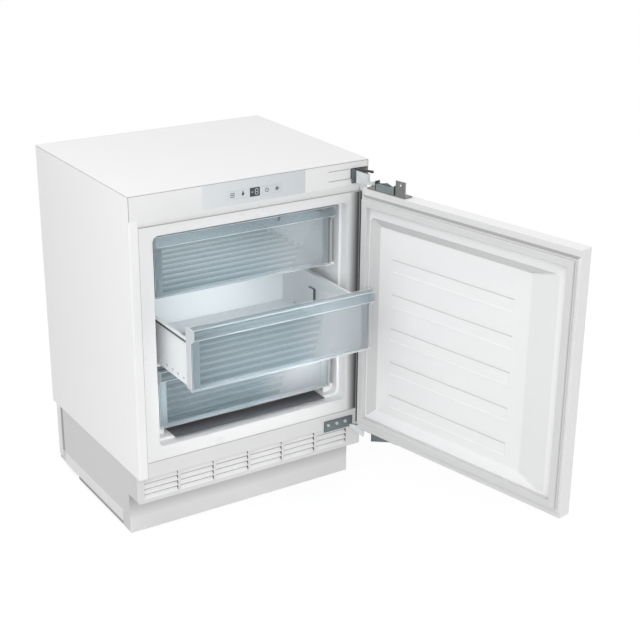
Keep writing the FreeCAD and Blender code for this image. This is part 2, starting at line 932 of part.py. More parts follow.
def control_panel():
    """Overlay, display, keys and the board behind them."""
    overlay = Piece("control_overlay")
    overlay.block(
        between("overlay_offset", "overlay_width"), ("front", "overlay_back"), ("face_bottom", "roof_under")
    )
    control_holes(overlay)
    window = Piece("display_window")
    window.block(
        between("overlay_offset", "display_width"), ("front", "board_front"),
        between("control_z", "display_height"),
    )
    for name, middle in KEYS.items():
        key = Piece(name)
        flange = "face_back + key_clearance / 2"
        key.block(
            between(middle, "key_width"), ("front", f"{flange} + key_flange_thickness"),
            between("control_z", "key_height"),
        )
        key.block(
            between(middle, "key_width + key_flange * 2"), (flange, f"{flange} + key_flange_thickness"),
            between("control_z", "key_height + key_flange * 2"),
        )
        key.rod(
            "key_flange", "Y", (middle, "control_z"), f"{flange} + key_flange_thickness",
            "board_front - key_travel - key_clearance",
        )
    board = Piece("control_board")
    board.block(
        between("overlay_offset", "board_width"), ("board_front", "board_front + board_thickness"),
        between("control_z", "board_height"),
    )
    # Corner spacers hold the board on the back of the fascia.
    for across in ("-(board_width / 2 - key_flange * 2)", "board_width / 2 - key_flange * 2"):
        for up in ("-(board_height / 2 - key_flange * 2)", "board_height / 2 - key_flange * 2"):
            at = (f"overlay_offset + {across}", f"control_z + {up}")
            board.rod("key_flange", "Y", at, "face_back", "board_front")


# Hinges


def arm_outline(start):
    """Plan of a hinge arm from the cabinet's front out to the pin."""
    return [
        ("block_right - arm_root", start), ("hinge_x - hinge_boss_radius", "hinge_y"),
        ("hinge_x + hinge_boss_radius", "hinge_y"), ("block_right", start),
    ]


def web_outline(start):
    """Plan of the upright web along the first four fifths of the arm's left edge."""
    near, far = arm_outline(start)[:2]
    end = tuple(f"{a} + ({b} - ({a})) * 0.8" for a, b in zip(near, far))
    edge = [near, end]
    return edge + [(f"{x} + web_thickness", y) for x, y in reversed(edge)]


def hinge_arm(bracket, start, arm, web, slope):
    """Add an arm with its web and boss, bored for the pin; the web's free edge slopes."""
    at = ("hinge_x", "hinge_y")
    bracket.extrude("Z", [arm_outline(start)], *arm)
    bracket.extrude("Z", [web_outline(start)], *web)
    bracket.extrude("X", [slope], "block_right - arm_root", "hinge_x", True)
    bracket.rod("hinge_boss_radius", "Z", at, *arm)
    bracket.rod("hinge_pin_radius", "Z", at, *arm, True)


def upper_bracket():
    """Cabinet side of the upper hinge: plate on the crossmember, block through the fascia, arm."""
    bracket = Piece("hinge_bracket_upper")
    start = "front - face_gap"
    height = ("notch_bottom + face_gap", "notch_top - face_gap")
    across = ("block_left", "block_right")
    bracket.block(across, (f"{start} - knuckle_depth", "fascia_back"), height)
    bracket.block(across, (f"{start} - knuckle_depth", start), ("arm_bottom", height[1]))
    bracket.block(
        ("block_right - mount_plate_width", "block_right"),
        ("fascia_back - mount_plate_thickness", "fascia_back"), height,
    )
    edge = "arm_top + web_height"
    slope = [(f"{start} - knuckle_depth", edge), ("hinge_y", edge), ("hinge_y", f"{edge} - web_height / 3")]
    hinge_arm(bracket, start, ("arm_bottom", "arm_top"), ("arm_top", edge), slope)


def lower_bracket():
    """Cabinet side of the lower hinge: a plate on the lower front panel and an arm under the door."""
    bracket = Piece("hinge_bracket_lower")
    start = "lower_plate_front"
    bracket.block(
        ("lower_plate_left", "block_right"), (start, "front"), ("lower_plate_bottom", "lower_plate_top")
    )
    edge = "lower_arm_bottom - lower_web_height"
    slope = [(start, edge), (start, "lower_arm_bottom"), ("hinge_y + knuckle_depth", edge)]
    hinge_arm(bracket, start, ("lower_arm_bottom", "lower_arm_top"), (edge, "lower_arm_bottom"), slope)
    for middle, up in lower_screw_places():
        bracket.rod("screw_shank_radius", "Y", (middle, up), start, "front", True)


def lower_screw_places():
    """Middles of the lower hinge's three screws."""
    up = "(lower_plate_bottom + lower_plate_top * 2) / 3"
    return [(f"lower_plate_left + lower_plate_width * {share}", up) for share in (0.12, 0.42, 0.72)]


def upper_screw_places():
    """Middles of the upper hinge's two screws."""
    up = "(notch_bottom + notch_top) / 2"
    return [(f"block_right - mount_plate_width * {share}", up) for share in (0.4, 0.85)]


def cabinet_screws():
    """Screws that hold both hinge brackets to the cabinet."""
    solids = []
    seat = "lower_plate_front"
    for at in lower_screw_places():
        head = loose_rod("head", "screw_head_radius", "Y", at, f"{seat} - screw_head_height", seat)
        shank = loose_rod("shank", "screw_shank_radius", "Y", at, seat, "front")
        solids.append(joined("lower_screw", [head, shank]))
    seat = "fascia_back - mount_plate_thickness"
    for at in upper_screw_places():
        head = loose_rod("upper_screw", "screw_head_radius", "Y", at, f"{seat} - screw_head_height", seat)
        solids.append(head)
    group("hinge_screws", solids)


def hinge_pins():
    """Pins fixed in the two arms, which the door turns on."""
    at = ("hinge_x", "hinge_y")
    upper = loose_rod("pin_upper", "hinge_pin_radius", "Z", at, "door_top - hinge_pin_depth", "arm_top")
    lower = loose_rod(
        "pin_lower", "hinge_pin_radius", "Z", at, "lower_arm_bottom", "door_bottom + hinge_pin_depth"
    )
    group("hinge_pins", [upper, lower])


def pin_bore(piece, low, high):
    """Cut the running bore for a hinge pin."""
    piece.rod(
        "hinge_pin_radius + hinge_pin_clearance", "Z", ("hinge_x", "hinge_y"), low, high, True
    )


def leaf(label, low, high):
    """Flat leaf along the door's edge with a boss round the pin."""
    plate = Piece(label)
    plate.block(
        ("hinge_x - leaf_length", "hinge_x"), ("hinge_y", "door_inner - leaf_edge_gap"), (low, high)
    )
    plate.rod("hinge_boss_radius", "Z", ("hinge_x", "hinge_y"), low, high)
    pin_bore(plate, low, high)
    return plate


def hinge_leaves():
    """Door sides of the two hinges; the upper leaf carries the tab that takes a furniture panel."""
    tab = "hinge_x - leaf_length"
    upper = leaf("hinge_leaf_upper", "door_top", "leaf_top")
    edge = "door_inner - leaf_edge_gap"
    upper.block(
        (tab, f"{tab} + tab_width"), (f"{edge} - leaf_thickness", edge),
        ("door_top", "door_top + tab_height"),
    )
    upper.rod(
        "tab_hole_radius", "Y", (f"{tab} + tab_width / 2", "door_top + tab_height * 0.76"),
        f"{edge} - leaf_thickness", edge, True,
    )
    lower = leaf("hinge_leaf_lower", "lower_leaf_bottom", "door_bottom")
    tip = f"{tab} + tab_width * 0.75"
    wedge = [
        (tip, "lower_leaf_bottom"), (f"{tip} + lower_bar_length", "lower_leaf_bottom"),
        (f"{tip} + lower_bar_length", "lower_leaf_bottom - lower_bar_height"),
    ]
    lower.extrude("Y", [wedge], f"{edge} - spring_unit_width", edge)
    upper.swing()
    lower.swing()


def hinge_spring_unit():
    """Closing unit on the upper leaf, with a bent strip over its middle like a low roof."""
    left = "hinge_x - leaf_length + tab_width + leaf_thickness"
    near = "door_inner - leaf_edge_gap - spring_unit_width"
    eaves = "leaf_top + spring_unit_height * 0.7"
    unit = Piece("hinge_spring_unit")
    unit.block(
        (left, f"{left} + spring_unit_length"), (near, f"{near} + spring_unit_width"), ("leaf_top", eaves)
    )
    roof = [
        (f"{left} + spring_unit_length * 0.15", eaves), (f"{left} + spring_unit_length * 0.9", eaves),
        (f"{left} + spring_unit_length * 0.5", "leaf_top + spring_unit_height"),
    ]
    unit.extrude("Y", [roof], f"{near} + leaf_edge_gap", f"{near} + leaf_edge_gap + leaf_thickness")
    unit.swing()


def leaf_screws():
    """Screws that hold both leaves to the door's caps."""
    solids = []
    height = "screw_head_height * 0.6"
    upper = ("leaf_top", f"leaf_top + {height}")
    lower = (f"lower_leaf_bottom - {height}", "lower_leaf_bottom")
    for share in (0.3, 0.55, 0.8):
        at = (f"hinge_x - leaf_length * {share}", "hinge_y + hinge_boss_radius")
        for seat in (upper, lower):
            solids.append(loose_rod("leaf_screw", "screw_head_radius * 0.7", "Z", at, *seat))
    screws = group("leaf_screws", solids)
    screws.setExpression("Placement", bind(OPEN_DOOR))


# Door


def door_shell():
    """Steel outer skin folded round both upright edges, with a moulded cap at each end."""
    skin = Piece("door_skin")
    height = ("caps_bottom", "caps_top")
    skin.block(("-door_half", "door_half"), ("door_outer", "door_inner"), height)
    inner = "door_half - skin_thickness"
    skin.block((f"-({inner})", inner), ("door_outer + skin_thickness", "door_inner"), height, True)
    skin.round(
        "door_edge_radius - skin_thickness", "Z", x=[f"-({inner})", inner],
        y=["door_outer + skin_thickness"],
    )
    edges = {"x": ["-door_half", "door_half"], "y": ["door_outer"]}
    skin.round("door_edge_radius", "Z", **edges)
    skin.swing()
    for label, low, high in (
        ("door_cap_top", "caps_top", "door_top"), ("door_cap_bottom", "door_bottom", "caps_bottom")
    ):
        cap = Piece(label)
        cap.block(("-door_half", "door_half"), ("door_outer", "door_inner"), (low, high))
        cap.round("door_edge_radius", "Z", **edges)
        if label == "door_cap_top":
            pin_bore(cap, "door_top - hinge_pin_depth - hinge_gap", high)
        else:
            pin_bore(cap, low, "door_bottom + hinge_pin_depth + hinge_gap")
        cap.swing()


def door_lining():
    """Moulded inner lining with a recess, its embossed bands, and the foam behind it."""
    inner = "door_half - skin_thickness"
    height = ("caps_bottom", "caps_top")
    pan_back = "recess_floor - liner_wall"
    lining = Piece("door_liner")
    lining.block((f"-({inner})", inner), ("door_inner - liner_wall", "door_inner"), height)
    lining.block(
        ("-(recess_free + liner_wall)", "recess_hinge + liner_wall"), (pan_back, "door_inner"),
        ("recess_bottom - liner_wall", "recess_top + liner_wall"),
    )
    mouth = rectangle(("-recess_free", "recess_hinge"), ("recess_bottom", "recess_top"))
    floor_x = ("-recess_free + recess_ramp", "recess_hinge - recess_slope")
    floor_z = ("recess_bottom + recess_slope", "recess_top - recess_slope")
    lining.loft([mouth, rectangle(floor_x, floor_z)], ["door_inner", "recess_floor"], True)
    slanted = number("recess_depth")
    lining.ease("recess_corner", lambda edge: abs(edge.BoundBox.YLength - slanted) < EDGE_TOLERANCE)
    lowest = "recess_bottom + band_start"
    band = lining.block(
        (f"{floor_x[0]} + band_inset", f"{floor_x[1]} - band_inset"),
        ("recess_floor", "recess_floor + band_raise"), between(lowest, "band_height"),
    )
    lining.repeat(band, "Z", "band_spacing", "band_count")
    lining.swing()
    foam = Piece("door_insulation")
    foam.block((f"-({inner})", inner), ("door_outer + skin_thickness", "door_inner - liner_wall"), height)
    foam.round(
        "door_edge_radius - skin_thickness", "Z", x=[f"-({inner})", inner], y=["door_outer + skin_thickness"]
    )
    foam.block(
        ("-(recess_free + liner_wall)", "recess_hinge + liner_wall"), (pan_back, "door_inner"),
        ("recess_bottom - liner_wall", "recess_top + liner_wall"), True,
    )
    foam.swing()


def door_gasket():
    """Sealing ring that meets the liner's flange when the door is shut."""
    ring = Piece("door_gasket")
    face = "front - gasket_seat_gap"
    ring.block(("-gasket_half", "gasket_half"), ("door_inner", face), ("gasket_bottom", "gasket_top"))
    ring.block(("-seal_half", "seal_half"), ("door_inner", face), ("seal_bottom", "seal_top"), True)
    ring.round("gasket_bulb", "X", y=[face], z=["gasket_bottom", "gasket_top", "seal_bottom", "seal_top"])
    ring.round("gasket_bulb", "Z", y=[face])
    ring.swing()


# Base


def lower_front():
    """Panel under the opening, vented grille and plinth."""
    panel = Piece("lower_front_panel")
    panel.block(
        ("-seam_half", "seam_half"), ("front", "front + lower_panel_thickness"),
        ("side_bottom", "panel_top"),
    )
    plinth = Piece("plinth")
    plinth.block(("-base_half", "base_half"), ("-plinth_back", "plinth_back"), ("0", "plinth_height"))
    grille = Piece("ventilation_grille")
    grille.block(
        ("-base_half", "base_half"), ("grille_front", "grille_back"), ("plinth_height", "side_bottom")
    )
    grille.block(
        ("-base_inner", "base_inner"), ("grille_front", "plinth_back"),
        ("plinth_height", "plinth_height + fascia_wall"),
    )
    bay = "((base_half * 2 - grille_left - grille_right) / grille_bays)"
    left = "-base_half + grille_left"
    first = grille.extrude("X", louvres(), left, f"{left} + {bay} - grille_post", True)
    grille.repeat(first, "X", bay, "grille_bays")


def louvres():
    """Side views of a bay's slots: each slopes in from the front to a slit under the next slat."""
    rise = "((side_bottom - plinth_height - grille_sill - grille_head) / grille_slots)"
    slots = []
    for slot in range(count("grille_slots")):
        low = f"plinth_height + grille_sill + {slot} * {rise}"
        high = f"{low} + {rise} - louvre_edge"
        throat = f"{high} - louvre_slit"
        slots.append([
            ("grille_front", low), ("grille_front + louvre_depth", throat), ("grille_back", throat),
            ("grille_back", high), ("grille_front", high),
        ])
    return slots


def base_side(side):
    """Side of the base: toe notch, folded rear edge, raised strip, rail, and the rear roller's fork."""
    wall = Piece(f"base_side_{side}")
    across = sided(side, "base_inner", "base_half")
    rail = ("front + rail_start", "front + rail_start + rail_length")
    wall.block(across, ("plinth_back", "base_rear"), ("base_clearance", "side_bottom"))
    wall.block(across, ("grille_back", "plinth_back"), ("plinth_height", "side_bottom"))
    wall.block(across, ("plinth_back", rail[0]), ("toe_clearance", "base_clearance"))
    wall.block(
        sided(side, "base_half", "base_half + fold_depth"), ("base_rear - fold_width", "base_rear"),
        ("base_clearance + fold_lift", "side_bottom"),
    )
    sign = "-" if side == "left" else ""
    edge = f"{sign}(base_half + fold_depth)"
    root = f"{sign}base_half"
    top = "base_clearance + strip_height"
    strip = [
        (root, "base_clearance"), (edge, "base_clearance"), (edge, top), (root, f"{top} + strip_slope"),
    ]
    wall.extrude("Y", [strip], rail[0], f"{rail[0]} + strip_length")
    wall.block(
        sided(side, "base_half - rail_width", "base_half"), rail,
        ("base_clearance - rail_height", "base_clearance"),
    )
    # The fork holds the roller between two cheeks, hung from a plate on the wall.
    along = between("roller_y", "roller_radius * 1.6")
    fork_top = "roller_radius * 2 + fork_gap * 2"
    for cheek in (("fork_inner - fork_wall", "fork_inner"), ("fork_outer", "fork_outer + fork_wall")):
        wall.block(sided(side, *cheek), along, ("roller_radius - axle_radius * 2", fork_top))
    wall.block(
        sided(side, "fork_inner - fork_wall", "base_half"), along, (fork_top, f"{fork_top} + fork_wall")
    )
    wall.rod(
        "axle_radius", "X", ("roller_y", "roller_radius"),
        *sided(side, "fork_inner - fork_wall", "fork_outer + fork_wall"),
    )


def base_pan():
    """Floor of the machine compartment, cut away over the rollers, with a rear lip."""
    pan = Piece("base_pan")
    across = ("-base_inner", "base_inner")
    pan.block(across, ("plinth_back", "base_rear"), ("base_clearance", "pan_top"))
    pan.block(across, ("base_rear - base_wall", "base_rear"), ("base_clearance", "rear_lip_height"))
    for side, foot in (("left", "-foot_x"), ("right", "foot_x")):
        pan.block(
            sided(side, "fork_inner - fork_wall", "base_inner"),
            between("roller_y", "roller_radius * 2 + fork_wall"), ("base_clearance", "pan_top"), True,
        )
        pan.rod(
            "stem_radius + foot_clearance", "Z", (foot, "foot_y"), "base_clearance", "pan_top", True
        )
    pan.rod("gland_radius", "Y", GLAND, "base_rear - base_wall", "base_rear", True)
    gland = Piece("cable_gland")
    gland.rod("gland_radius", "Y", GLAND, "base_rear - base_wall", "base_rear")
    gland.rod("gland_radius * 1.3", "Y", GLAND, "base_rear", "base_rear + base_wall")
    gland.rod("gland_bore", "Y", GLAND, "base_rear - base_wall", "base_rear + base_wall", True)


def feet_and_rollers():
    """Screw feet at the front and rollers at the rear."""
    for side, sign in (("left", "-"), ("right", "")):
        foot = Piece(f"front_foot_{side}")
        foot.turn(
            "Z",
            [
                ("0", "0"), ("foot_radius", "0"), ("foot_radius", "foot_height / 2"),
                ("stem_radius * 2", "foot_height"), ("stem_radius", "foot_height"),
                ("stem_radius", "foot_height + stem_length"), ("0", "foot_height + stem_length"),
            ],
            {"x": f"{sign}foot_x", "z": "-foot_y"},
        )
        roller = Piece(f"rear_roller_{side}")
        half_width = "roller_width / 2"
        bore = "axle_radius + axle_clearance"
        shoulder = "roller_width / 7"
        roller.turn(
            "X",
            [
                (f"-{half_width}", bore), (half_width, bore),
                (half_width, f"roller_radius - {shoulder}"), (f"{half_width} - {shoulder}", "roller_radius"),
                (f"-({half_width} - {shoulder})", "roller_radius"),
                (f"-{half_width}", f"roller_radius - {shoulder}"),
            ],
            {"x": f"{sign}roller_x", "y": "roller_y", "z": "roller_radius"},
        )


def compressor():
    """Sealed compressor on a foot plate, its rubber mounts and its terminal box."""
    can = Piece("compressor")
    top = "compressor_base + compressor_height"
    edge = "compressor_radius * 0.8"
    can.turn(
        "Z",
        [
            ("0", "compressor_base"), (edge, "compressor_base"),
            ("compressor_radius", "compressor_base + compressor_height * 0.15"),
            ("compressor_radius", "compressor_base + compressor_height * 0.75"),
            (edge, f"{top} - compressor_height * 0.07"), ("compressor_radius * 0.4", top), ("0", top),
        ],
        {"x": "compressor_across", "z": "-compressor_y"},
    )
    spread = "mount_spacing + mount_radius * 3"
    can.block(
        between("compressor_across", spread), between("compressor_y", spread),
        ("compressor_foot", "compressor_base"),
    )
    mounts = []
    for across in ("-", "+"):
        for along in ("-", "+"):
            at = (
                f"compressor_across {across} mount_spacing / 2", f"compressor_y {along} mount_spacing / 2"
            )
            mounts.append(loose_rod("mount", "mount_radius", "Z", at, "pan_top", "compressor_foot"))
    group("compressor_mounts", mounts)
    terminal = Piece("terminal_box")
    face = "compressor_across + compressor_radius"
    terminal.block(
        (face, f"{face} + terminal_width"), between("compressor_y", "terminal_height"),
        between("compressor_base + compressor_height * 0.45", "terminal_height"),
    )


def condenser():
    """Tube coil on the fan shroud."""
    shroud = Piece("fan_shroud")
    shroud.block(
        between("condenser_across", "condenser_width + condenser_spacing"),
        ("shroud_front", "shroud_back"), ("pan_top", "pan_top + shroud_height"),
    )
    shroud.rod(
        "fan_radius + fan_clearance", "Y", ("condenser_across", "fan_z"), "shroud_front", "shroud_back", True
    )
    points = serpentine(
        "condenser_width", "coil_y", "coil_low", "condenser_spacing", count("condenser_passes"),
        "condenser_across",
    )
    shaped("condenser_coil", tube(points, number("tube_radius"), number("condenser_spacing / 2.2")))


def fan():
    """Condenser fan on its motor's shaft."""
    wheel = Piece("fan_blade")
    bore = "shaft_radius + axle_clearance"
    hub = [(bore, "0"), ("hub_radius", "0"), ("hub_radius", "hub_length"), (bore, "hub_length")]
    wheel.turn("Y", hub, {})
    blade = wheel.add("PartDesign::AdditiveBox", "blade")
    pitch = FreeCAD.Rotation(AXES["X"], number("blade_angle"))
    blade.Placement = FreeCAD.Placement(FreeCAD.Vector(), pitch)
    tie(blade, {
        "Length": "fan_radius - hub_radius + blade_thickness", "Width": "blade_chord",
        "Height": "blade_thickness", "Placement.Base.x": "hub_radius - blade_thickness",
        "Placement.Base.y": "(hub_length - blade_chord) / 2", "Placement.Base.z": "-blade_chord / 3",
    })
    blades = wheel.add("PartDesign::PolarPattern", "blades")
    blades.Originals = [blade]
    blades.Axis = (wheel.plane("Y_Axis"), [""])
    blades.Angle = 360
    tie(blades, {"Occurrences": "fan_blades"})
    wheel.body.Tip = blades
    tie(wheel.body, {
        "Placement.Base.x": "condenser_across", "Placement.Base.y": "hub_front", "Placement.Base.z": "fan_z",
    })
    motor = Piece("fan_motor")
    at = ("condenser_across", "fan_z")
    motor.rod("motor_radius", "Y", at, "motor_front", "motor_front + motor_length")
    motor.rod("shaft_radius", "Y", at, "hub_front", "motor_front")
    motor.block(
        between("condenser_across", "motor_radius"), ("motor_front", "motor_front + motor_length"),
        ("pan_top", "fan_z"),
    )


def pipework():
    """Pipes between compressor, condenser, drier and cabinet."""
    radius = number("tube_radius")
    bend = radius * 4
    coil_left = "condenser_across - condenser_width / 2"
    coil_top = "coil_low + (condenser_passes - 1) * condenser_spacing"
    past_coil = f"{coil_left} - condenser_spacing * 1.5"
    drier_left = "condenser_across + condenser_width / 2 + condenser_spacing * 2"
    drier_right = f"{drier_left} + drier_length"
    drier_at = ("plinth_back + foot_setback * 2", "pan_top + drier_radius")
    drier = Piece("filter_drier")
    drier.rod("drier_radius", "X", drier_at, drier_left, drier_right)
    can_z = "compressor_base + compressor_height * 0.45"
    can_left = "compressor_across - compressor_radius"
    beside_can = f"{can_left} - condenser_spacing * 2"
    behind_motor = "shroud_back + motor_length * 3"
    can_front = "compressor_y - compressor_radius"
    rise_y = f"{can_front} - condenser_spacing * 2"
    capillary_x = f"{drier_right} + condenser_spacing * 2"
    routes = {
        "discharge": (radius, bend, [
            (can_left, "compressor_y", can_z), (beside_can, "compressor_y", can_z),
            (beside_can, behind_motor, can_z), (past_coil, behind_motor, can_z),
            (past_coil, "coil_y", coil_top), (coil_left, "coil_y", coil_top),
        ]),
        "liquid": (radius, bend * 0.7, [
            (coil_left, "coil_y", "coil_low"), (f"{coil_left} - condenser_spacing", "coil_y", "coil_low"),
            (f"{coil_left} - condenser_spacing", *drier_at), (drier_left, *drier_at),
        ]),
        "suction": (radius, bend, [
            ("compressor_across", can_front, can_z), ("compressor_across", rise_y, can_z),
            ("compressor_across", rise_y, "side_bottom"),
        ]),
        "capillary": (radius / 2, bend, [
            (drier_right, *drier_at), (capillary_x, *drier_at),
            (capillary_x, drier_at[0], "side_bottom"),
        ]),
    }
    pipes = [tube([point(*place) for place in places], r, b) for r, b, places in routes.values()]
    shaped("refrigerant_pipes", Part.makeCompound(pipes))


def build():
    """Make every sub-part."""
    for side in ("left", "right"):
        side_panel(side)
        base_side(side)
    outer_skins()
    inner_liner()
    insulation()
    evaporator()
    temperature_sensor()
    drawer_runners()
    for index, name in enumerate(DRAWERS):
        drawer(index, name)
    fascia()
    control_panel()
    upper_bracket()
    lower_bracket()
    cabinet_screws()
    hinge_pins()
    hinge_leaves()
    hinge_spring_unit()
    leaf_screws()
    door_shell()
    door_lining()
    door_gasket()
    lower_front()
    base_pan()
    feet_and_rollers()
    compressor()
    condenser()
    fan()
    pipework()
    doc.recompute()


def write():
    """Check every object and write each sub-part's solids."""
    for item in doc.Objects:
        if {"Invalid", "Error"} & set(item.State):
            raise RuntimeError(f"{item.Name} failed: {item.State}")
    os.makedirs("parts", exist_ok=True)
    for item in pieces:
        shape = item.Shape
        if shape.isNull() or not shape.isValid() or shape.Volume < LEAST_VOLUME:
            raise RuntimeError(f"{item.Label} has no sound shape")
        shape.exportStep(f"parts/{item.Label}.step")
        print(f"{item.Label}: {len(shape.Solids)} solids, {shape.Volume:.0f} mm3")


build()
write()
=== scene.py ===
import json
import logging
import math
from dataclasses import dataclass
from enum import Enum
from typing import Callable, Iterable, Sequence

import bmesh
import bpy
from mathutils import Matrix, Vector

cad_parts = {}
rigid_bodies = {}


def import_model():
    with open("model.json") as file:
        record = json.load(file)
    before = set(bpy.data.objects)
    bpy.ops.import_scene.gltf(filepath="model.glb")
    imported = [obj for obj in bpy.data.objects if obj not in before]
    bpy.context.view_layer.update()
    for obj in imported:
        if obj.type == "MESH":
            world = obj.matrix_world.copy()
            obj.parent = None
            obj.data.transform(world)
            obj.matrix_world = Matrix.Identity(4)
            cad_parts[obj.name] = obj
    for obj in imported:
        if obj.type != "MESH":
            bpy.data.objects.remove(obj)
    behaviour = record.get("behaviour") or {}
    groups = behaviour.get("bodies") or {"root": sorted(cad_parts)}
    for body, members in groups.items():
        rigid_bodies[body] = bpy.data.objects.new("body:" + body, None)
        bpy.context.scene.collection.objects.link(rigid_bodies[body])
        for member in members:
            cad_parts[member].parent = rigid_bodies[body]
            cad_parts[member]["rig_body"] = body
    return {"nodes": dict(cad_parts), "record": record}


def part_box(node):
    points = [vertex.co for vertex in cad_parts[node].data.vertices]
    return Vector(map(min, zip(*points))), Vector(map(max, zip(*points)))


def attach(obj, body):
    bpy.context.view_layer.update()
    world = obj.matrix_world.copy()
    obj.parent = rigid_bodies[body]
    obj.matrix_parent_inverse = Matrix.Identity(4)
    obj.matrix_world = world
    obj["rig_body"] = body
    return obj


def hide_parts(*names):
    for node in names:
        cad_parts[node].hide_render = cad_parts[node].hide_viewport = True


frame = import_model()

# Looks of an undercounter freezer with its door open and its middle drawer pulled out.
# Metres throughout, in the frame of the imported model: +X right, +Y to the rear, +Z up.

LOG = logging.getLogger("freezer")
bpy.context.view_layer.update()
SLOT_OF = {part["node"]: part["material_slot"] for part in frame["record"]["subparts"]}
SIDES = ("left", "right")
Point = tuple[float, float, float]
Colour = tuple[float, float, float]
Outline = list[tuple[float, float]]
Item = bpy.types.Object
Mesh = bpy.types.Mesh
Shape = bmesh.types.BMesh


# Node trees


class Value:
    """A node's output that takes part in plain arithmetic."""

    def __init__(self, bench: "Bench", socket: bpy.types.NodeSocket) -> None:
        """Keep the tree and the output."""
        self.bench = bench
        self.socket = socket

    def math(self, operation: str, *operands: "Value | float") -> "Value":
        """The result of a Math node, by Blender's name for what it does."""
        return self.bench.add("ShaderNodeMath", {"operation": operation}, dict(enumerate(operands)))

    def __add__(self, other: "Value | float") -> "Value":
        """The sum."""
        return self.math("ADD", self, other)

    def __mul__(self, other: "Value | float") -> "Value":
        """The product."""
        return self.math("MULTIPLY", self, other)

    __radd__ = __add__
    __rmul__ = __mul__

    def most(self, other: "Value | float") -> "Value":
        """The larger of two values."""
        return self.math("MAXIMUM", self, other)


class Bench:
    """A node tree with one way to add nodes to it."""

    def __init__(self, tree: bpy.types.NodeTree) -> None:
        """Keep the tree."""
        self.tree = tree

    @staticmethod
    def find(sockets: Sequence[bpy.types.NodeSocket], key: str | int) -> bpy.types.NodeSocket:
        """Find a socket by place, identifier or name.

        Args:
            sockets: a node's inputs or outputs.
            key: which one.

        Returns:
            The socket.
        """
        for socket in sockets:
            if socket.identifier == key:
                return socket
        return sockets[key]

    def join(self, socket: bpy.types.NodeSocket, value: object) -> None:
        """Link an output to an input, or set the input's own value.

        Args:
            socket: the input.
            value: an output, several outputs for an input that takes many, or a plain value.
        """
        if isinstance(value, Value):
            value = [value]
        if isinstance(value, list):
            for item in value:
                self.tree.links.new(item.socket, socket)
        else:
            socket.default_value = value

    def add(
        self, kind: str, settings: dict[str, object] | None = None,
        sockets: dict[str | int, object] | None = None, output: str | int = 0,
    ) -> Value:
        """Add a node.

        Args:
            kind: the node's type.
            settings: its own settings, which are set first.
            sockets: values or links for its inputs.
            output: which output to give back.

        Returns:
            That output.
        """
        node = self.tree.nodes.new(kind)
        for key, setting in (settings or {}).items():
            setattr(node, key, setting)
        for key, value in (sockets or {}).items():
            self.join(self.find(node.inputs, key), value)
        return Value(self, self.find(node.outputs, output))


class SurfaceBench(Bench):
    """The node tree of one material, round a single main shader."""

    def __init__(self, name: str) -> None:
        """Start a material with a main shader and an output.

        Args:
            name: the material's name.
        """
        self.material = bpy.data.materials.new(name)
        self.material.use_nodes = True
        super().__init__(self.material.node_tree)
        self.tree.nodes.clear()
        self.shader = self.add("ShaderNodeBsdfPrincipled")
        self.output = self.tree.nodes.new("ShaderNodeOutputMaterial")
        self.show(self.shader)

    def show(self, surface: Value) -> None:
        """Make a shader the one that shows."""
        self.tree.links.new(surface.socket, self.output.inputs["Surface"])

    def feed(self, **sockets: object) -> None:
        """Set or link inputs of the main shader; an underscore stands for a space."""
        for key, value in sockets.items():
            self.join(self.shader.socket.node.inputs[key.replace("_", " ")], value)

    def place(self) -> Value:
        """The point on the piece, in the object's own coordinates."""
        return self.add("ShaderNodeTexCoord", output="Object")

    def noise(self, scale: float, detail: float, stretch: Point = (1, 1, 1)) -> Value:
        """Cloudy unevenness, by patches in a metre and finer layers, with its axes stretched first."""
        place = self.add("ShaderNodeMapping", None, {"Vector": self.place(), "Scale": stretch})
        return self.add("ShaderNodeTexNoise", None, {"Vector": place, "Scale": scale, "Detail": detail})

    def cells(self, scale: float, output: str | int = 0) -> Value:
        """A surface broken up into cells."""
        return self.add("ShaderNodeTexVoronoi", None, {"Vector": self.place(), "Scale": scale}, output)

    def levels(self, scale: float) -> Value:
        """A random level for each cell of a broken-up surface."""
        return self.add("ShaderNodeSeparateColor", None, {0: self.cells(scale, "Color")})

    def along(self, axis: "Axis", start: float, stop: float) -> Value:
        """How far a point lies along an axis: 0 before the start and 1 past the stop, in metres."""
        place = self.add("ShaderNodeSeparateXYZ", None, {0: self.place()}, axis.value)
        return self.add("ShaderNodeMapRange", None, {"Value": place, "From Min": start, "From Max": stop})

    def blend(self, share: Value, low: Colour | Value, high: Colour | Value) -> Value:
        """Mix two colours.

        Args:
            share: how much of the second there is, from 0 to 1.
            low: the first colour.
            high: the second colour.

        Returns:
            The mixed colour.
        """
        first, second = [end if isinstance(end, Value) else (*end, 1.0) for end in (low, high)]
        sockets = {"Factor_Float": share, "A_Color": first, "B_Color": second}
        return self.add("ShaderNodeMix", {"data_type": "RGBA"}, sockets, "Result_Color")

    def bumped(self, height: Value, depth: float) -> Value:
        """A surface direction that follows a height of a given depth in metres."""
        return self.add("ShaderNodeBump", None, {"Height": height, "Distance": depth, "Strength": 1.0})


# Finishes


class Axis(Enum):
    """Directions of the model's frame."""

    ACROSS = "X"
    DEEP = "Y"
    UP = "Z"


class Relief(Enum):
    """Kinds of small unevenness that a surface can have."""

    PEEL = "soft waves of sprayed enamel"
    GRAIN = "fine moulded grain"
    BRUSHED = "lines from drawing or rolling"
    SPANGLE = "crystals of hot zinc"
    CELLS = "cut foam cells"


# Layers of detail, stretches of the axes and the gloss that finishes have in common.
FINE, SOFT = 4.0, 2.0
EVEN, DRAWN_OUT = (1.0, 1.0, 1.0), (1.0, 1.0, 0.03)
DRIFT_DETAIL = 3.0
GLOSS_PATCH = 40.0
COAT_ROUGHNESS = 0.12


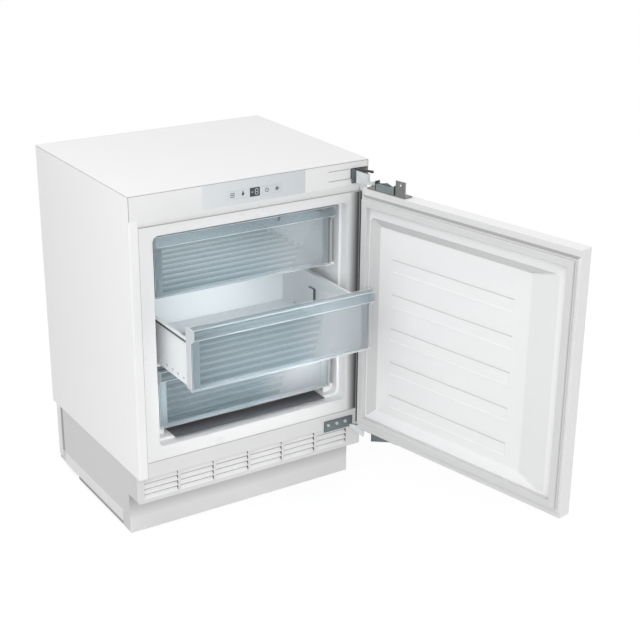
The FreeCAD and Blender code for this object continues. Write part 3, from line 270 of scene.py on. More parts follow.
@dataclass(frozen=True)
class Finish:
    """A surface: its colour, its gloss, and the unevenness of both."""

    name: str
    colour: Colour
    roughness: float = 0.4
    metallic: float = 0.0
    coat: float = 0.0
    relief: Relief = Relief.GRAIN
    relief_scale: float = 1400.0
    relief_depth: float = 0.00001
    tone_spread: float = 0.03
    tone_scale: float = 5.0
    gloss_spread: float = 0.08
    glow: float = 0.0

    def shaded(self, factor: float) -> Colour:
        """The colour made lighter or darker."""
        return tuple(min(1.0, part * factor) for part in self.colour)

    def height(self, bench: SurfaceBench) -> Value:
        """The unevenness that the bump follows.

        Args:
            bench: the material's tree.

        Returns:
            Heights from 0 to 1.
        """
        if self.relief is Relief.SPANGLE:
            return bench.levels(self.relief_scale)
        if self.relief is Relief.CELLS:
            return bench.cells(self.relief_scale)
        detail = FINE if self.relief is Relief.GRAIN else SOFT
        stretch = DRAWN_OUT if self.relief is Relief.BRUSHED else EVEN
        return bench.noise(self.relief_scale, detail, stretch)

    def hue(self, bench: SurfaceBench) -> Value:
        """The colour with its slow drift between a darker and a lighter tone.

        Args:
            bench: the material's tree.

        Returns:
            The colour at each point.
        """
        spangled = self.relief is Relief.SPANGLE
        drift = bench.levels(self.relief_scale) if spangled else bench.noise(self.tone_scale, DRIFT_DETAIL)
        return bench.blend(drift, self.shaded(1.0 - self.tone_spread), self.shaded(1.0 + self.tone_spread))

    def fill(self, bench: SurfaceBench) -> None:
        """Give the main shader this finish.

        Args:
            bench: the material's tree.
        """
        gloss = bench.noise(self.relief_scale / GLOSS_PATCH, FINE)
        bench.feed(
            Base_Color=self.hue(bench),
            Roughness=gloss * (2.0 * self.gloss_spread) + (self.roughness - self.gloss_spread),
            Metallic=self.metallic,
            Coat_Weight=self.coat,
            Coat_Roughness=COAT_ROUGHNESS,
            Normal=bench.bumped(self.height(bench), self.relief_depth),
        )
        if self.glow:
            bench.feed(Emission_Color=(*self.colour, 1.0), Emission_Strength=self.glow)

    def make(self) -> bpy.types.Material:
        """Build the material, or give back the one made before.

        Returns:
            The material.
        """
        known = bpy.data.materials.get(self.name)
        if known:
            return known
        bench = SurfaceBench(self.name)
        self.fill(bench)
        return bench.material


@dataclass(frozen=True)
class FadedFinish(Finish):
    """A surface that turns to another colour along one axis."""

    axis: Axis = Axis.ACROSS
    start: float = 0.0
    stop: float = 1.0
    far: Colour = (0.5, 0.5, 0.5)

    def hue(self, bench: SurfaceBench) -> Value:
        """The colour, which fades to the far one."""
        return bench.blend(bench.along(self.axis, self.start, self.stop), super().hue(bench), self.far)


@dataclass(frozen=True)
class ClearFinish(Finish):
    """See-through moulded plastic: a tint for what is behind, and a gloss that grows at a slant."""

    tint: Colour = (0.8, 0.86, 0.89)
    haze: float = 0.1
    mirror: float = 1.0
    bend: float = 1.5

    def milk(self, bench: SurfaceBench) -> Value | float:
        """How milky it is."""
        return self.haze

    def fill(self, bench: SurfaceBench) -> None:
        """Give the main shader this finish and mix in what is behind.

        Args:
            bench: the material's tree.
        """
        super().fill(bench)
        bench.feed(IOR=self.bend)
        slant = bench.add("ShaderNodeFresnel", None, {"IOR": self.bend})
        behind = bench.add("ShaderNodeBsdfTransparent", None, {"Color": (*self.tint, 1.0)})
        share = slant * self.mirror + self.milk(bench)
        bench.show(bench.add("ShaderNodeMixShader", None, {0: share, 1: behind, 2: bench.shader}))


@dataclass(frozen=True)
class ReflectingClearFinish(ClearFinish, FadedFinish):
    """See-through plastic with a painted reflection: it grows milkier as it fades to its far colour."""

    reflection_milk: float = 0.2

    def milk(self, bench: SurfaceBench) -> Value:
        """How milky it is at each point, where the painted reflection grows."""
        return bench.along(self.axis, self.start, self.stop) * self.reflection_milk + self.haze


def grey(level: float) -> Colour:
    """A colour without hue."""
    return (level, level, level)


def drawn(
    name: str, colour: Colour, roughness: float, metallic: float, scale: float, depth: float, spread: float,
    patches: float,
) -> Finish:
    """A metal with lines from drawing or rolling.

    Args:
        name: its name.
        colour: its colour.
        roughness: how dull it is.
        metallic: how much it is bare metal.
        scale: lines in a metre.
        depth: how deep they are.
        spread: how far its tone drifts.
        patches: darker and lighter patches in a metre.

    Returns:
        The finish.
    """
    return Finish(
        name, colour, roughness, metallic, relief=Relief.BRUSHED, relief_scale=scale, relief_depth=depth,
        tone_spread=spread, tone_scale=patches,
    )


# What kinds of surface have in common.
SPRAYED = {"relief": Relief.PEEL, "relief_scale": 260.0, "relief_depth": 0.000012, "tone_spread": 0.012}
PAINTED = {"relief": Relief.PEEL, "relief_scale": 300.0}
MOULDED = {"relief_scale": 900.0, "relief_depth": 0.000008, "tone_spread": 0.012}
GRAINED = {"relief_scale": 1600.0, "tone_spread": 0.012}
RIBBED = {"relief_scale": 1100.0, "tone_spread": 0.02}
POLISHED = {"relief_scale": 120.0, "relief_depth": 0.000002, "gloss_spread": 0.02}

ENAMEL = Finish("white_enamel", grey(0.85), 0.32, coat=0.25, **SPRAYED)
# Painted shade: the white enamel of the side panels turns darker towards the rear.
SIDE_ENAMEL_SHADED = FadedFinish(
    "side_enamel", grey(0.90), 0.32, coat=0.25, **SPRAYED, axis=Axis.DEEP, start=-0.066, stop=0.433,
    far=grey(0.79),
)
DOOR_ENAMEL = Finish("door_enamel", grey(0.88), 0.34, coat=0.2, **SPRAYED)
LINER = Finish("liner_plastic", (0.94, 0.943, 0.946), 0.3, coat=0.2, **MOULDED)
DOOR_LINER = Finish("door_lining", grey(0.89), 0.36, coat=0.1, **MOULDED)
# Painted shade on the door's caps: their room-facing faces are a darker copy of the lining than their tops,
# which share the flange's colour.
DOOR_CAP_SHADE = Finish("door_cap", grey(0.74), **MOULDED)
DOOR_FLANGE = Finish("door_flange", grey(0.90), **MOULDED)
# Painted shade on the door's lining: the slope by the free edge and the recess's upper and hinge-side walls
# are darker copies of the lining.
DOOR_RAMP_SHADE = Finish("door_ramp", grey(0.83), **MOULDED)
RECESS_WALL_SHADE = Finish("recess_wall", grey(0.65), relief_scale=900.0, relief_depth=0.000008, tone_spread=0.02)
# Painted shade above and painted highlight below each band across the door's lining.
BAND_SHADE = Finish("band_shade", grey(0.66), 0.5, relief_scale=900.0, tone_spread=0.02)
BAND_HIGHLIGHT = Finish("band_light", grey(0.99), 0.3, relief_scale=900.0, tone_spread=0.01)
# Painted shade in the gap round the door's seal, darker along the top.
GROOVE_SHADE = Finish("seal_groove", (0.82, 0.82, 0.825), 0.6, relief_scale=900.0, tone_spread=0.04)
GROOVE_TOP_SHADE = Finish("upper_seal_groove", (0.44, 0.44, 0.445), 0.6, relief_scale=900.0, tone_spread=0.05)
GASKET = Finish("seal_rubber", grey(0.69), 0.55, relief_scale=700.0, relief_depth=0.00002)
# Painted shade on the liner's flange round the mouth: a darker copy of the liner that fades to near black
# towards the hinge, as the open door's shadow.
HINGE_FLANGE_SHADOW = FadedFinish(
    "hinge_side_flange", (0.835, 0.835, 0.838), 0.3, coat=0.2, **MOULDED, start=0.250, stop=0.271,
    far=(0.05, 0.05, 0.052),
)
# Painted shadow of the open door on the right side panel's front edge: near black up to the fascia, light
# grey above it.
HINGE_EDGE_SHADOW = FadedFinish(
    "hinge_side_edge", (0.05, 0.05, 0.052), relief=Relief.PEEL, relief_scale=260.0, tone_spread=0.06,
    axis=Axis.UP, start=0.744, stop=0.749, far=grey(0.86),
)
# Painted shadow: a dark sheet on the liner's floor where the lowest drawer shades it.
FLOOR_SHADOW = Finish("floor_well", (0.15, 0.15, 0.16), 0.5, relief_scale=900.0, tone_spread=0.06)
TUB = Finish("tub_plastic", (0.87, 0.88, 0.885), 0.3, coat=0.2, relief_scale=1100.0, relief_depth=0.000008,
             tone_spread=0.015)
# Painted shade on the tub's rim, on its stops and on the strip under the rim.
RIM_SHADE = Finish("rim_plastic", (0.08, 0.095, 0.10), relief_scale=1100.0, tone_spread=0.05)
# Painted shade on the tubs' floor ribs: darker than the tub, darker still in the lowest drawer and paler in
# the top one.
RIB_SHADE = Finish("rib_plastic", (0.40, 0.425, 0.44), **RIBBED)
DEEP_RIB_SHADE = Finish("deep_rib_plastic", (0.20, 0.225, 0.24), **RIBBED)
PALE_RIB_SHADE = Finish("pale_rib_plastic", (0.56, 0.585, 0.60), **RIBBED)
# Painted highlight: thin bright bars along the clear fronts' edges.
BEAD_HIGHLIGHT = Finish("bead_plastic", (0.95, 0.97, 0.98), 0.2, coat=0.4, relief_scale=900.0, tone_spread=0.02)
# Painted reflection: the clear fronts turn milkier and paler towards their right ends.
CLEAR_REFLECTING = ReflectingClearFinish(
    "clear_front", (0.60, 0.70, 0.75), 0.06, **POLISHED, tint=(0.74, 0.78, 0.795), haze=0.05, start=0.02,
    stop=0.12, reflection_milk=0.075, far=(0.90, 0.905, 0.925),
)
CLEAR_LIP = ClearFinish("clear_lip", (0.70, 0.78, 0.82), 0.06, **POLISHED, tint=(0.885, 0.91, 0.92),
                        haze=0.06, mirror=0.6)
CLEAR_EDGE = ClearFinish("clear_edge", (0.93, 0.95, 0.965), 0.12, relief_scale=200.0, relief_depth=0.000002,
                         gloss_spread=0.03, tint=(0.8, 0.88, 0.92), haze=0.5)
FASCIA = Finish("fascia_plastic", grey(0.485), 0.42, relief_scale=1800.0, tone_spread=0.012)
# Painted shade: the silver film turns darker towards its right end.
FILM = FadedFinish(
    "silver_film", (0.75, 0.785, 0.81), 0.34, metallic=0.15, coat=0.3, relief_scale=2600.0,
    relief_depth=0.000004, tone_spread=0.02, tone_scale=9.0, start=-0.126, stop=0.13, far=(0.66, 0.70, 0.725),
)
GLASS = Finish("display_glass", (0.006, 0.006, 0.008), 0.12, relief_scale=300.0, relief_depth=0.000002,
               tone_spread=0.2, gloss_spread=0.03)
DIGITS = Finish("display_light", (0.55, 0.57, 0.58), glow=0.12)
INK = Finish("key_print", (0.035, 0.037, 0.04), 0.5, tone_spread=0.1)
LOWER = Finish("lower_panel_plastic", grey(0.74), 0.42, **GRAINED)
GRILLE = Finish("grille_plastic", grey(0.92), **GRAINED)
# Painted shade: the grille's flat front and ends are a darker copy of its plastic than the louvres.
GRILLE_FACE_SHADE = Finish("grille_face", grey(0.72), 0.42, **GRAINED)
# Painted shade at the top of the grille's louvres.
SLIT_SHADE = Finish("slit_shade", (0.22, 0.22, 0.225), 0.6, tone_spread=0.08)
# Painted shade on the end walls inside the grille's slots.
SLOT_SHADE = Finish("slot_shade", (0.05, 0.05, 0.052), 0.6, tone_spread=0.1)
# Painted shadow: the plinth darkens towards its top, under the grille's overhang.
PLINTH_SHADOWED = FadedFinish(
    "plinth_enamel", grey(0.76), relief=Relief.PEEL, relief_scale=240.0, tone_spread=0.015, axis=Axis.UP,
    start=0.035, stop=0.088, far=grey(0.40),
)
BASE = Finish("base_sheet", (0.61, 0.61, 0.615), 0.42, metallic=0.1, **PAINTED)
BASE_STRIP = Finish("base_strip", grey(0.76), 0.42, **PAINTED, tone_spread=0.02)
# Painted shade by the base sides' rear folds and on their rails.
BASE_SHADE = Finish("base_edge", (0.32, 0.32, 0.325), 0.5, **PAINTED, tone_spread=0.05)
SEAM = Finish("seam_shade", (0.2, 0.2, 0.205), 0.7, tone_spread=0.1)
PALE_SEAM = Finish("pale_seam", (0.42, 0.42, 0.425), 0.6, tone_spread=0.08)
ZINC = Finish("zinc_sheet", (0.62, 0.63, 0.64), 0.38, metallic=0.85, relief=Relief.SPANGLE, relief_scale=85.0,
              relief_depth=0.000003, tone_spread=0.1)
ZINC_ARM = drawn("plated_arm", (0.66, 0.70, 0.71), 0.34, 0.8, 900.0, 0.000006, 0.08, 60.0)
DARK_ZINC = drawn("dark_plated_steel", (0.17, 0.20, 0.21), 0.4, 0.75, 900.0, 0.000008, 0.2, 70.0)
GREEN_ZINC = drawn("spring_steel", (0.29, 0.335, 0.33), 0.4, 0.7, 800.0, 0.000008, 0.12, 80.0)
LEAF = drawn("leaf_steel", (0.27, 0.265, 0.26), 0.42, 0.7, 800.0, 0.000008, 0.15, 60.0)
LINK = drawn("link_steel", (0.05, 0.055, 0.055), 0.35, 0.6, 900.0, 0.000006, 0.2, 70.0)
BRIGHT = drawn("bright_steel", (0.74, 0.76, 0.77), 0.24, 1.0, 1500.0, 0.000004, 0.08, 90.0)
COPPER = drawn("drawn_copper", (0.72, 0.36, 0.2), 0.3, 1.0, 700.0, 0.000006, 0.12, 40.0)
TUBE = drawn("drawn_aluminium", (0.75, 0.76, 0.77), 0.3, 1.0, 700.0, 0.00001, 0.03, 5.0)
CAST = Finish("cast_motor", (0.5, 0.51, 0.52), 0.45, metallic=0.8, relief_scale=700.0, relief_depth=0.00002,
              tone_spread=0.08)
BLACK_STEEL = Finish("black_enamel", (0.025, 0.025, 0.028), 0.35, coat=0.3, **PAINTED, tone_spread=0.15)
BLACK = Finish("black_moulding", (0.035, 0.035, 0.037), 0.5, relief_scale=1500.0, tone_spread=0.12)
RUBBER = Finish("mount_rubber", grey(0.03), 0.75, relief_scale=900.0, relief_depth=0.00002, tone_spread=0.15)
FOAM = Finish("cut_foam", (0.8, 0.7, 0.42), 0.9, relief=Relief.CELLS, relief_scale=500.0, relief_depth=0.0004,
              tone_spread=0.08)
BOARD = Finish("circuit_board", (0.03, 0.16, 0.07), coat=0.3, relief_scale=500.0, tone_spread=0.15)


# Meshes


Choice = tuple[Finish, Callable[[Vector, Vector], bool]]


def plain(item: Item) -> Mesh:
    """Turn an object with its modifiers into a plain mesh.

    Args:
        item: an object that is linked to the scene, which is removed.

    Returns:
        The finished mesh.
    """
    bpy.context.view_layer.update()
    graph = bpy.context.evaluated_depsgraph_get()
    mesh = bpy.data.meshes.new_from_object(item.evaluated_get(graph))
    mesh.name = item.name
    bpy.data.objects.remove(item)
    return mesh


def linked(name: str, data: bpy.types.ID) -> Item:
    """Put a mesh, a light or a camera into the scene.

    Args:
        name: the object's name.
        data: what it shows.

    Returns:
        The object, at the origin.
    """
    item = bpy.data.objects.new(name, data)
    bpy.context.scene.collection.objects.link(item)
    return item


def closed(name: str, shape: Shape) -> Mesh:
    """Make a worked-out shape a mesh.

    Args:
        name: the mesh's name.
        shape: the shape, which is used up.

    Returns:
        The mesh.
    """
    mesh = bpy.data.meshes.new(name)
    shape.to_mesh(mesh)
    shape.free()
    return mesh


def merged(node: str) -> Mesh:
    """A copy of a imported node's mesh with its loose triangles joined into whole faces.

    Args:
        node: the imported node.

    Returns:
        The copy.
    """
    shape = bmesh.new()
    shape.from_mesh(frame["nodes"][node].data)
    weld, flat = 1e-6, math.radians(0.5)
    bmesh.ops.remove_doubles(shape, verts=shape.verts, dist=weld)
    bmesh.ops.dissolve_limit(
        shape, angle_limit=flat, verts=shape.verts, edges=shape.edges, use_dissolve_boundaries=False
    )
    return closed(node, shape)


def smooth(mesh: Mesh, angle: float) -> None:
    """Shade a mesh smoothly apart from edges that turn by more than an angle in degrees."""
    mesh.polygons.foreach_set("use_smooth", [True] * len(mesh.polygons))
    mesh.set_sharp_from_angle(angle=math.radians(angle))


def rounded(name: str, mesh: Mesh, edge: float, segments: int) -> Mesh:
    """Round a mesh's sharp edges.

    Args:
        name: the finished mesh's name.
        mesh: the mesh, which is used up.
        edge: width of the rounding in metres.
        segments: steps across it.

    Returns:
        The rounded mesh.
    """
    sharp = 30.0
    mesh.materials.clear()
    smooth(mesh, sharp)
    item = linked(name, mesh)
    bevel = item.modifiers.new("edges", "BEVEL")
    bevel.width = edge
    bevel.segments = segments
    bevel.limit_method = "ANGLE"
    bevel.angle_limit = math.radians(sharp)
    bevel.harden_normals = True
    return plain(item)


def paint(mesh: Mesh, finish: Finish, choices: Sequence[Choice] = ()) -> None:
    """Give a mesh its finish, and other finishes to the faces that are chosen.

    Args:
        mesh: the mesh.
        finish: what it has all over.
        choices: other finishes, each with a test of a face's middle and direction.
    """
    mesh.materials.clear()
    mesh.materials.append(finish.make())
    for index, (other, chosen) in enumerate(choices, start=1):
        mesh.materials.append(other.make())
        for face in mesh.polygons:
            if chosen(face.center, face.normal):
                face.material_index = index


def settle(name: str, mesh: Mesh, body: str, slot: str, *nodes: str) -> Item:
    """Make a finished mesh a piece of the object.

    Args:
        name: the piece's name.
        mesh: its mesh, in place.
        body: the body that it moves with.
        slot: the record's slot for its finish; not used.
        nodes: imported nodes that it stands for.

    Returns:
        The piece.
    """
    item = linked(name, mesh)
    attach(item, body)
    if nodes:
        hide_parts(*nodes)
    return item


def piece(
    name: str, shape: Shape, finish: Finish, body: str, slot: str, *nodes: str, edge: float = 0.0,
    segments: int = 2, choices: Sequence[Choice] = (),
) -> Item:
    """Make a worked-out shape a piece of the object.

    Args:
        name: the piece's name.
        shape: its shape, in place, which is used up.
        finish: what it has all over.
        body: the body that it moves with.
        slot: the record's slot for its finish.
        nodes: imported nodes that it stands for.
        edge: width of the rounding of its edges.
        segments: steps across that.
        choices: other finishes for chosen faces.

    Returns:
        The piece.
    """
    mesh = rounded(name, closed(f"{name}_blank", shape), edge, segments) if edge else closed(name, shape)
    paint(mesh, finish, choices)
    return settle(name, mesh, body, slot, *nodes)


def dress(
    node: str, finish: Finish, edge: float = 0.0006, segments: int = 2, choices: Sequence[Choice] = ()
) -> Item:
    """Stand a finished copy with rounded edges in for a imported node.

    Args:
        node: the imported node.
        finish: what it has all over.
        edge: width of the rounding in metres.
        segments: steps across it.
        choices: other finishes for chosen faces.

    Returns:
        The piece.
    """
    mesh = rounded(f"{node}_dressed", merged(node), edge, segments)
    paint(mesh, finish, choices)
    return settle(mesh.name, mesh, frame["nodes"][node]["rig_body"], SLOT_OF[node], node)


def coat(node: str, finish: Finish) -> Item:
    """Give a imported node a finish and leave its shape.

    Args:
        node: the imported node.
        finish: what it has all over.

    Returns:
        The node's object.
    """
    item = frame["nodes"][node]
    item.data.materials.clear()
    item.data.materials.append(finish.make())
    return item


def bars(boxes: Iterable[tuple[Point, Point]]) -> Shape:
    """Separate boxes between low and high corners.

    Args:
        boxes: each box's two corners.

    Returns:
        The boxes as one shape.
    """
    shape = bmesh.new()
    for low, high in boxes:
        made = bmesh.ops.create_cube(shape, size=1.0)["verts"]
        middle = Vector([(a + b) / 2 for a, b in zip(low, high)])
        size = Vector([b - a for a, b in zip(low, high)])
        bmesh.ops.transform(shape, matrix=Matrix.LocRotScale(middle, None, size), verts=made)
    return shape


def slabs(outlines: Iterable[Outline], front: float, back: float) -> Shape:
    """Flat forms with outlines in X and Z, between two places along Y.

    Args:
        outlines: each form's corners, in order.
        front: the nearer place along Y.
        back: the farther place along Y.

    Returns:
        The forms as one shape.
    """
    shape = bmesh.new()
    for outline in outlines:
        face = shape.faces.new([shape.verts.new((x, front, z)) for x, z in outline])
        grown = bmesh.ops.extrude_face_region(shape, geom=[face])["geom"]
        moved = [item for item in grown if isinstance(item, bmesh.types.BMVert)]
        bmesh.ops.translate(shape, verts=moved, vec=(0, back - front, 0))
    bmesh.ops.recalc_face_normals(shape, faces=shape.faces)
    return shape


def oblong(left: float, low: float, right: float, high: float) -> Outline:
    """Outline of a rectangle."""
    return [(left, low), (right, low), (right, high), (left, high)]


def placed(shape: Shape, place: Matrix) -> Shape:
    """A shape that is turned and moved."""
    shape.transform(place)
    return shape


def pair(sign: int, first: float, second: float) -> tuple[float, float]:
    """Two places on the left or the right side, the lower one first."""
    return tuple(sorted((sign * first, sign * second)))


# Geometry trees


class ShapeBench(Bench):
    """A geometry tree with named sizes that ends in one material."""

    def __init__(self, name: str, **sizes: str) -> None:
        """Start a tree.

        Args:
            name: the tree's name.
            sizes: each named input and its kind of socket.
        """
        super().__init__(bpy.data.node_groups.new(name, "GeometryNodeTree"))
        self.keys: dict[str, str] = {}
        face = self.tree.interface
        face.new_socket("Geometry", in_out="INPUT", socket_type="NodeSocketGeometry")
        for label, kind in {**sizes, "Material": "Material"}.items():
            socket = face.new_socket(label, in_out="INPUT", socket_type=f"NodeSocket{kind}")
            self.keys[label] = socket.identifier
        face.new_socket("Geometry", in_out="OUTPUT", socket_type="NodeSocketGeometry")
        self.source = self.tree.nodes.new("NodeGroupInput")
        self.sink = self.tree.nodes.new("NodeGroupOutput")

    def given(self, label: str) -> Value:
        """A named input."""
        return Value(self, self.source.outputs[label])

    def vector(self, x: Value | float, y: Value | float, z: Value | float) -> Value:
        """A vector from three values."""
        return self.add("ShaderNodeCombineXYZ", None, {0: x, 1: y, 2: z})

    def moved(self, shape: Value, **sockets: object) -> Value:
        """A shape that is scaled, turned and moved."""
        return self.add("GeometryNodeTransform", None, {"Geometry": shape, **sockets})

    def places(self) -> Value:
        """The points of the mesh that the tree works on."""
        return self.add("GeometryNodeMeshToPoints", None, {"Mesh": self.given("Geometry")})

    def repeat(self, places: Value, shape: Value, **sockets: object) -> None:
        """Finish the tree with a shape on every point, as real geometry in its material.

        Args:
            places: the points.
            shape: what stands on each.
            sockets: how it is turned there.
        """
        sockets = {"Points": places, "Instance": shape, **sockets}
        stood = self.add("GeometryNodeInstanceOnPoints", None, sockets)
        real = self.add("GeometryNodeRealizeInstances", None, {0: stood})
        sockets = {"Geometry": real, "Material": self.given("Material")}
        worn = self.add("GeometryNodeSetMaterial", None, sockets)
        self.join(self.sink.inputs[0], worn)

    def grow(self, name: str, places: Iterable[Point], finish: Finish, **sizes: object) -> Mesh:
        """Run the tree on points.

        Args:
            name: the finished mesh's name.
            places: the points.
            finish: the material that it ends in.
            sizes: values of the named inputs.

        Returns:
            The finished mesh.
        """
        base = bpy.data.meshes.new("places")
        base.from_pydata(list(places), [], [])
        item = linked(name, base)
        modifier = item.modifiers.new("shape", "NODES")
        modifier.node_group = self.tree
        for label, value in {**sizes, "Material": finish.make()}.items():
            modifier[self.keys[label]] = value
        return plain(item)


def screw_tree() -> ShapeBench:
    """Tree that stands a cross-slotted screw head on every point.

    Returns:
        The tree.
    """
    bench = ShapeBench("screw_heads", Radius="Float", Height="Float", Turn="Vector")
    radius, height = bench.given("Radius"), bench.given("Height")
    sides, taper, length, width = 20, 0.78, 1.3, 0.3
    sockets = {"Vertices": sides, "Radius Top": radius * taper, "Radius Bottom": radius, "Depth": height}
    head = bench.add("GeometryNodeMeshCone", {"fill_type": "NGON"}, sockets, "Mesh")
    arms = []
    for across, along in ((length, width), (width, length)):
        size = bench.vector(radius * across, radius * along, height)
        arm = bench.add("GeometryNodeMeshCube", None, {"Size": size}, "Mesh")
        arms.append(bench.moved(arm, Translation=bench.vector(0.0, 0.0, height)))
    settings = {"operation": "DIFFERENCE", "solver": "EXACT"}
    cut = bench.add("GeometryNodeMeshBoolean", settings, {"Mesh 1": head, "Mesh 2": arms})
    turn = bench.add("FunctionNodeEulerToRotation", None, {0: bench.given("Turn")})
    bench.repeat(bench.places(), cut, Rotation=turn)
    return bench


def rib_tree() -> ShapeBench:
    """Tree that lays a row of rounded ribs side by side along Y, with flat feet.

    Returns:
        The tree.
    """
    bench = ShapeBench(
        "floor_ribs", Count="Int", Spacing="Float", Length="Float", Width="Float", Height="Float",
        Sink="Float", Start="Vector",
    )
    sides = 24
    sockets = {"Vertices": sides, "Radius": 1.0, "Depth": bench.given("Length")}
    rib = bench.add("GeometryNodeMeshCylinder", {"fill_type": "NGON"}, sockets, "Mesh")
    scale = bench.vector(bench.given("Height"), bench.given("Width") * 0.5, 1.0)
    rib = bench.moved(rib, Rotation=(0.0, math.pi / 2, 0.0), Scale=scale)
    place = bench.add("GeometryNodeInputPosition")
    across, along, up = (bench.add("ShaderNodeSeparateXYZ", None, {0: place}, axis) for axis in "XYZ")
    foot = bench.vector(across, along, up.most(bench.given("Sink") * -1.0))
    rib = bench.add("GeometryNodeSetPosition", None, {"Geometry": rib, "Position": foot})
    step = bench.vector(0.0, bench.given("Spacing"), 0.0)
    sockets = {"Count": bench.given("Count"), "Start Location": bench.given("Start"), "Offset": step}
    bench.repeat(bench.add("GeometryNodeMeshLine", {"mode": "OFFSET"}, sockets), rib)
    return bench


def bar_tree() -> ShapeBench:
    """Tree that stands a bar of one size on every point.

    Returns:
        The tree.
    """
    bench = ShapeBench("repeated_bars", Size="Vector")
    bar = bench.add("GeometryNodeMeshCube", None, {"Size": bench.given("Size")}, "Mesh")
    bench.repeat(bench.places(), bar)
    return bench


# Sub-assemblies


# How much of a face's direction lies along an axis when it is square to that axis, or slanted towards it.
SQUARE = 0.9
SLANTED = 0.5


@dataclass
class CabinetShell:
    """Outer sheets of the cabinet and the seams between them."""

    half: float = 0.298
    front: float = -0.066
    rear: float = 0.433
    flange_half: float = 0.277
    roof_under: float = 0.816
    fascia_bottom: float = 0.746
    face_bottom: float = 0.763
    panel_top: float = 0.202
    side_bottom: float = 0.165
    seam: float = 0.0009
    seam_depth: float = 0.0006
    fascia_depth: float = 0.006
    proud: float = 0.00005
    flange_inset: float = 0.0003
    end_inset: float = 0.0015
    end_depth: float = 0.0025
    end_reach: float = 0.005
    rim_inset: float = 0.0012
    rim_sink: float = 0.0001
    rim_rise: float = 0.0008
    margin: float = 0.001
    slack: float = 0.002

    def faces_door(self, middle: Vector, normal: Vector) -> bool:
        """Whether a face is on the folded edge that the door covers."""
        return normal.y < -SLANTED and middle.y < self.front + self.slack

    def is_end(self, middle: Vector, normal: Vector) -> bool:
        """Whether a face is on the joint at an end of the fascia."""
        across = abs(middle.x) > self.flange_half + self.end_reach
        return across and middle.y < self.front + self.margin and middle.z < self.roof_under - self.slack

    def seams(self) -> Item:
        """Thin dark joints where sheets and mouldings meet.

        Returns:
            The joints as one piece.
        """
        half, flange, front, wide = self.half, self.flange_half, self.front, self.seam / 2
        near, back, roof = front - self.proud, front + self.seam_depth, self.roof_under
        fascia, panel, slack = self.fascia_bottom, self.panel_top, self.slack
        lines = [
            ((slack - half, near, roof - self.seam), (half - slack, back, roof)),
            ((-flange, near, fascia - wide), (flange, back + self.fascia_depth, fascia + wide)),
            ((-flange, near, panel - wide), (flange, back, panel + wide)),
            (
                (flange, front + self.end_inset, fascia - slack),
                (half - self.end_inset, front + self.end_depth, self.face_bottom + self.margin),
            ),
        ]
        for sign in (-1, 1):
            middle, edge = sign * (flange - self.flange_inset), sign * (half - self.end_inset)
            left, right = pair(sign, half - self.proud, half - self.rim_inset)
            start, stop = front + self.margin, self.rear - self.margin
            lines += [
                ((middle - wide, near, self.side_bottom), (middle + wide, back, fascia)),
                ((edge - wide, near, self.face_bottom), (edge + wide, back, roof)),
                ((left, start, roof - self.rim_sink), (right, stop, roof + self.rim_rise)),
            ]
        choices = [(SEAM, self.is_end)]
        return piece("cabinet_seams", bars(lines), PALE_SEAM, "cabinet", "white_steel", choices=choices)

    def build(self) -> list[Item]:
        """Dress the sheets.

        Returns:
            The pieces.
        """
        return [
            dress("top_panel", ENAMEL, 0.0009, 3),
            dress("side_panel_left", SIDE_ENAMEL_SHADED, 0.0003),
            dress("side_panel_right", SIDE_ENAMEL_SHADED, 0.0003, 2, [(HINGE_EDGE_SHADOW, self.faces_door)]),
            dress("back_panel", ZINC, 0.0003),
            dress("cabinet_bottom", ZINC, 0.0003),
            coat("upper_crossmember", ZINC),
            coat("cabinet_insulation", FOAM),
            self.seams(),
        ]


@dataclass
class FoodSpace:
    """Liner, runners, sensor and the cooling tube behind them."""

    flange: float = -0.066
    flange_slack: float = 0.0005
    floor: float = 0.241
    shadow_half: float = 0.199
    shadow_front: float = -0.051
    shadow_rear: float = 0.300
    shadow_sink: float = 0.0002
    shadow_rise: float = 0.0003
    shadow_edge: float = 0.0001

    def faces_door(self, middle: Vector, normal: Vector) -> bool:
        """Whether a face is on the flange round the mouth."""
        return normal.y < -SQUARE and middle.y < self.flange + self.flange_slack

    def shadow_sheet(self) -> Item:
        """Painted shadow on the floor under the lowest drawer, as a thin dark sheet.

        Returns:
            The sheet.
        """
        low = (-self.shadow_half, self.shadow_front, self.floor - self.shadow_sink)
        high = (self.shadow_half, self.shadow_rear, self.floor + self.shadow_rise)
        shape = bars([(low, high)])
        return piece("floor_well", shape, FLOOR_SHADOW, "cabinet", "white_plastic", edge=self.shadow_edge, segments=1)

    def build(self) -> list[Item]:
        """Dress the liner and what is fixed to it.

        Returns:
            The pieces.
        """
        return [
            dress("inner_liner", LINER, 0.0012, 3, [(HINGE_FLANGE_SHADOW, self.faces_door)]),
            self.shadow_sheet(),
            dress("drawer_runners", LINER, 0.0015, 3),
            dress("temperature_sensor", LINER, 0.001, 3),
            coat("evaporator", TUBE),
        ]


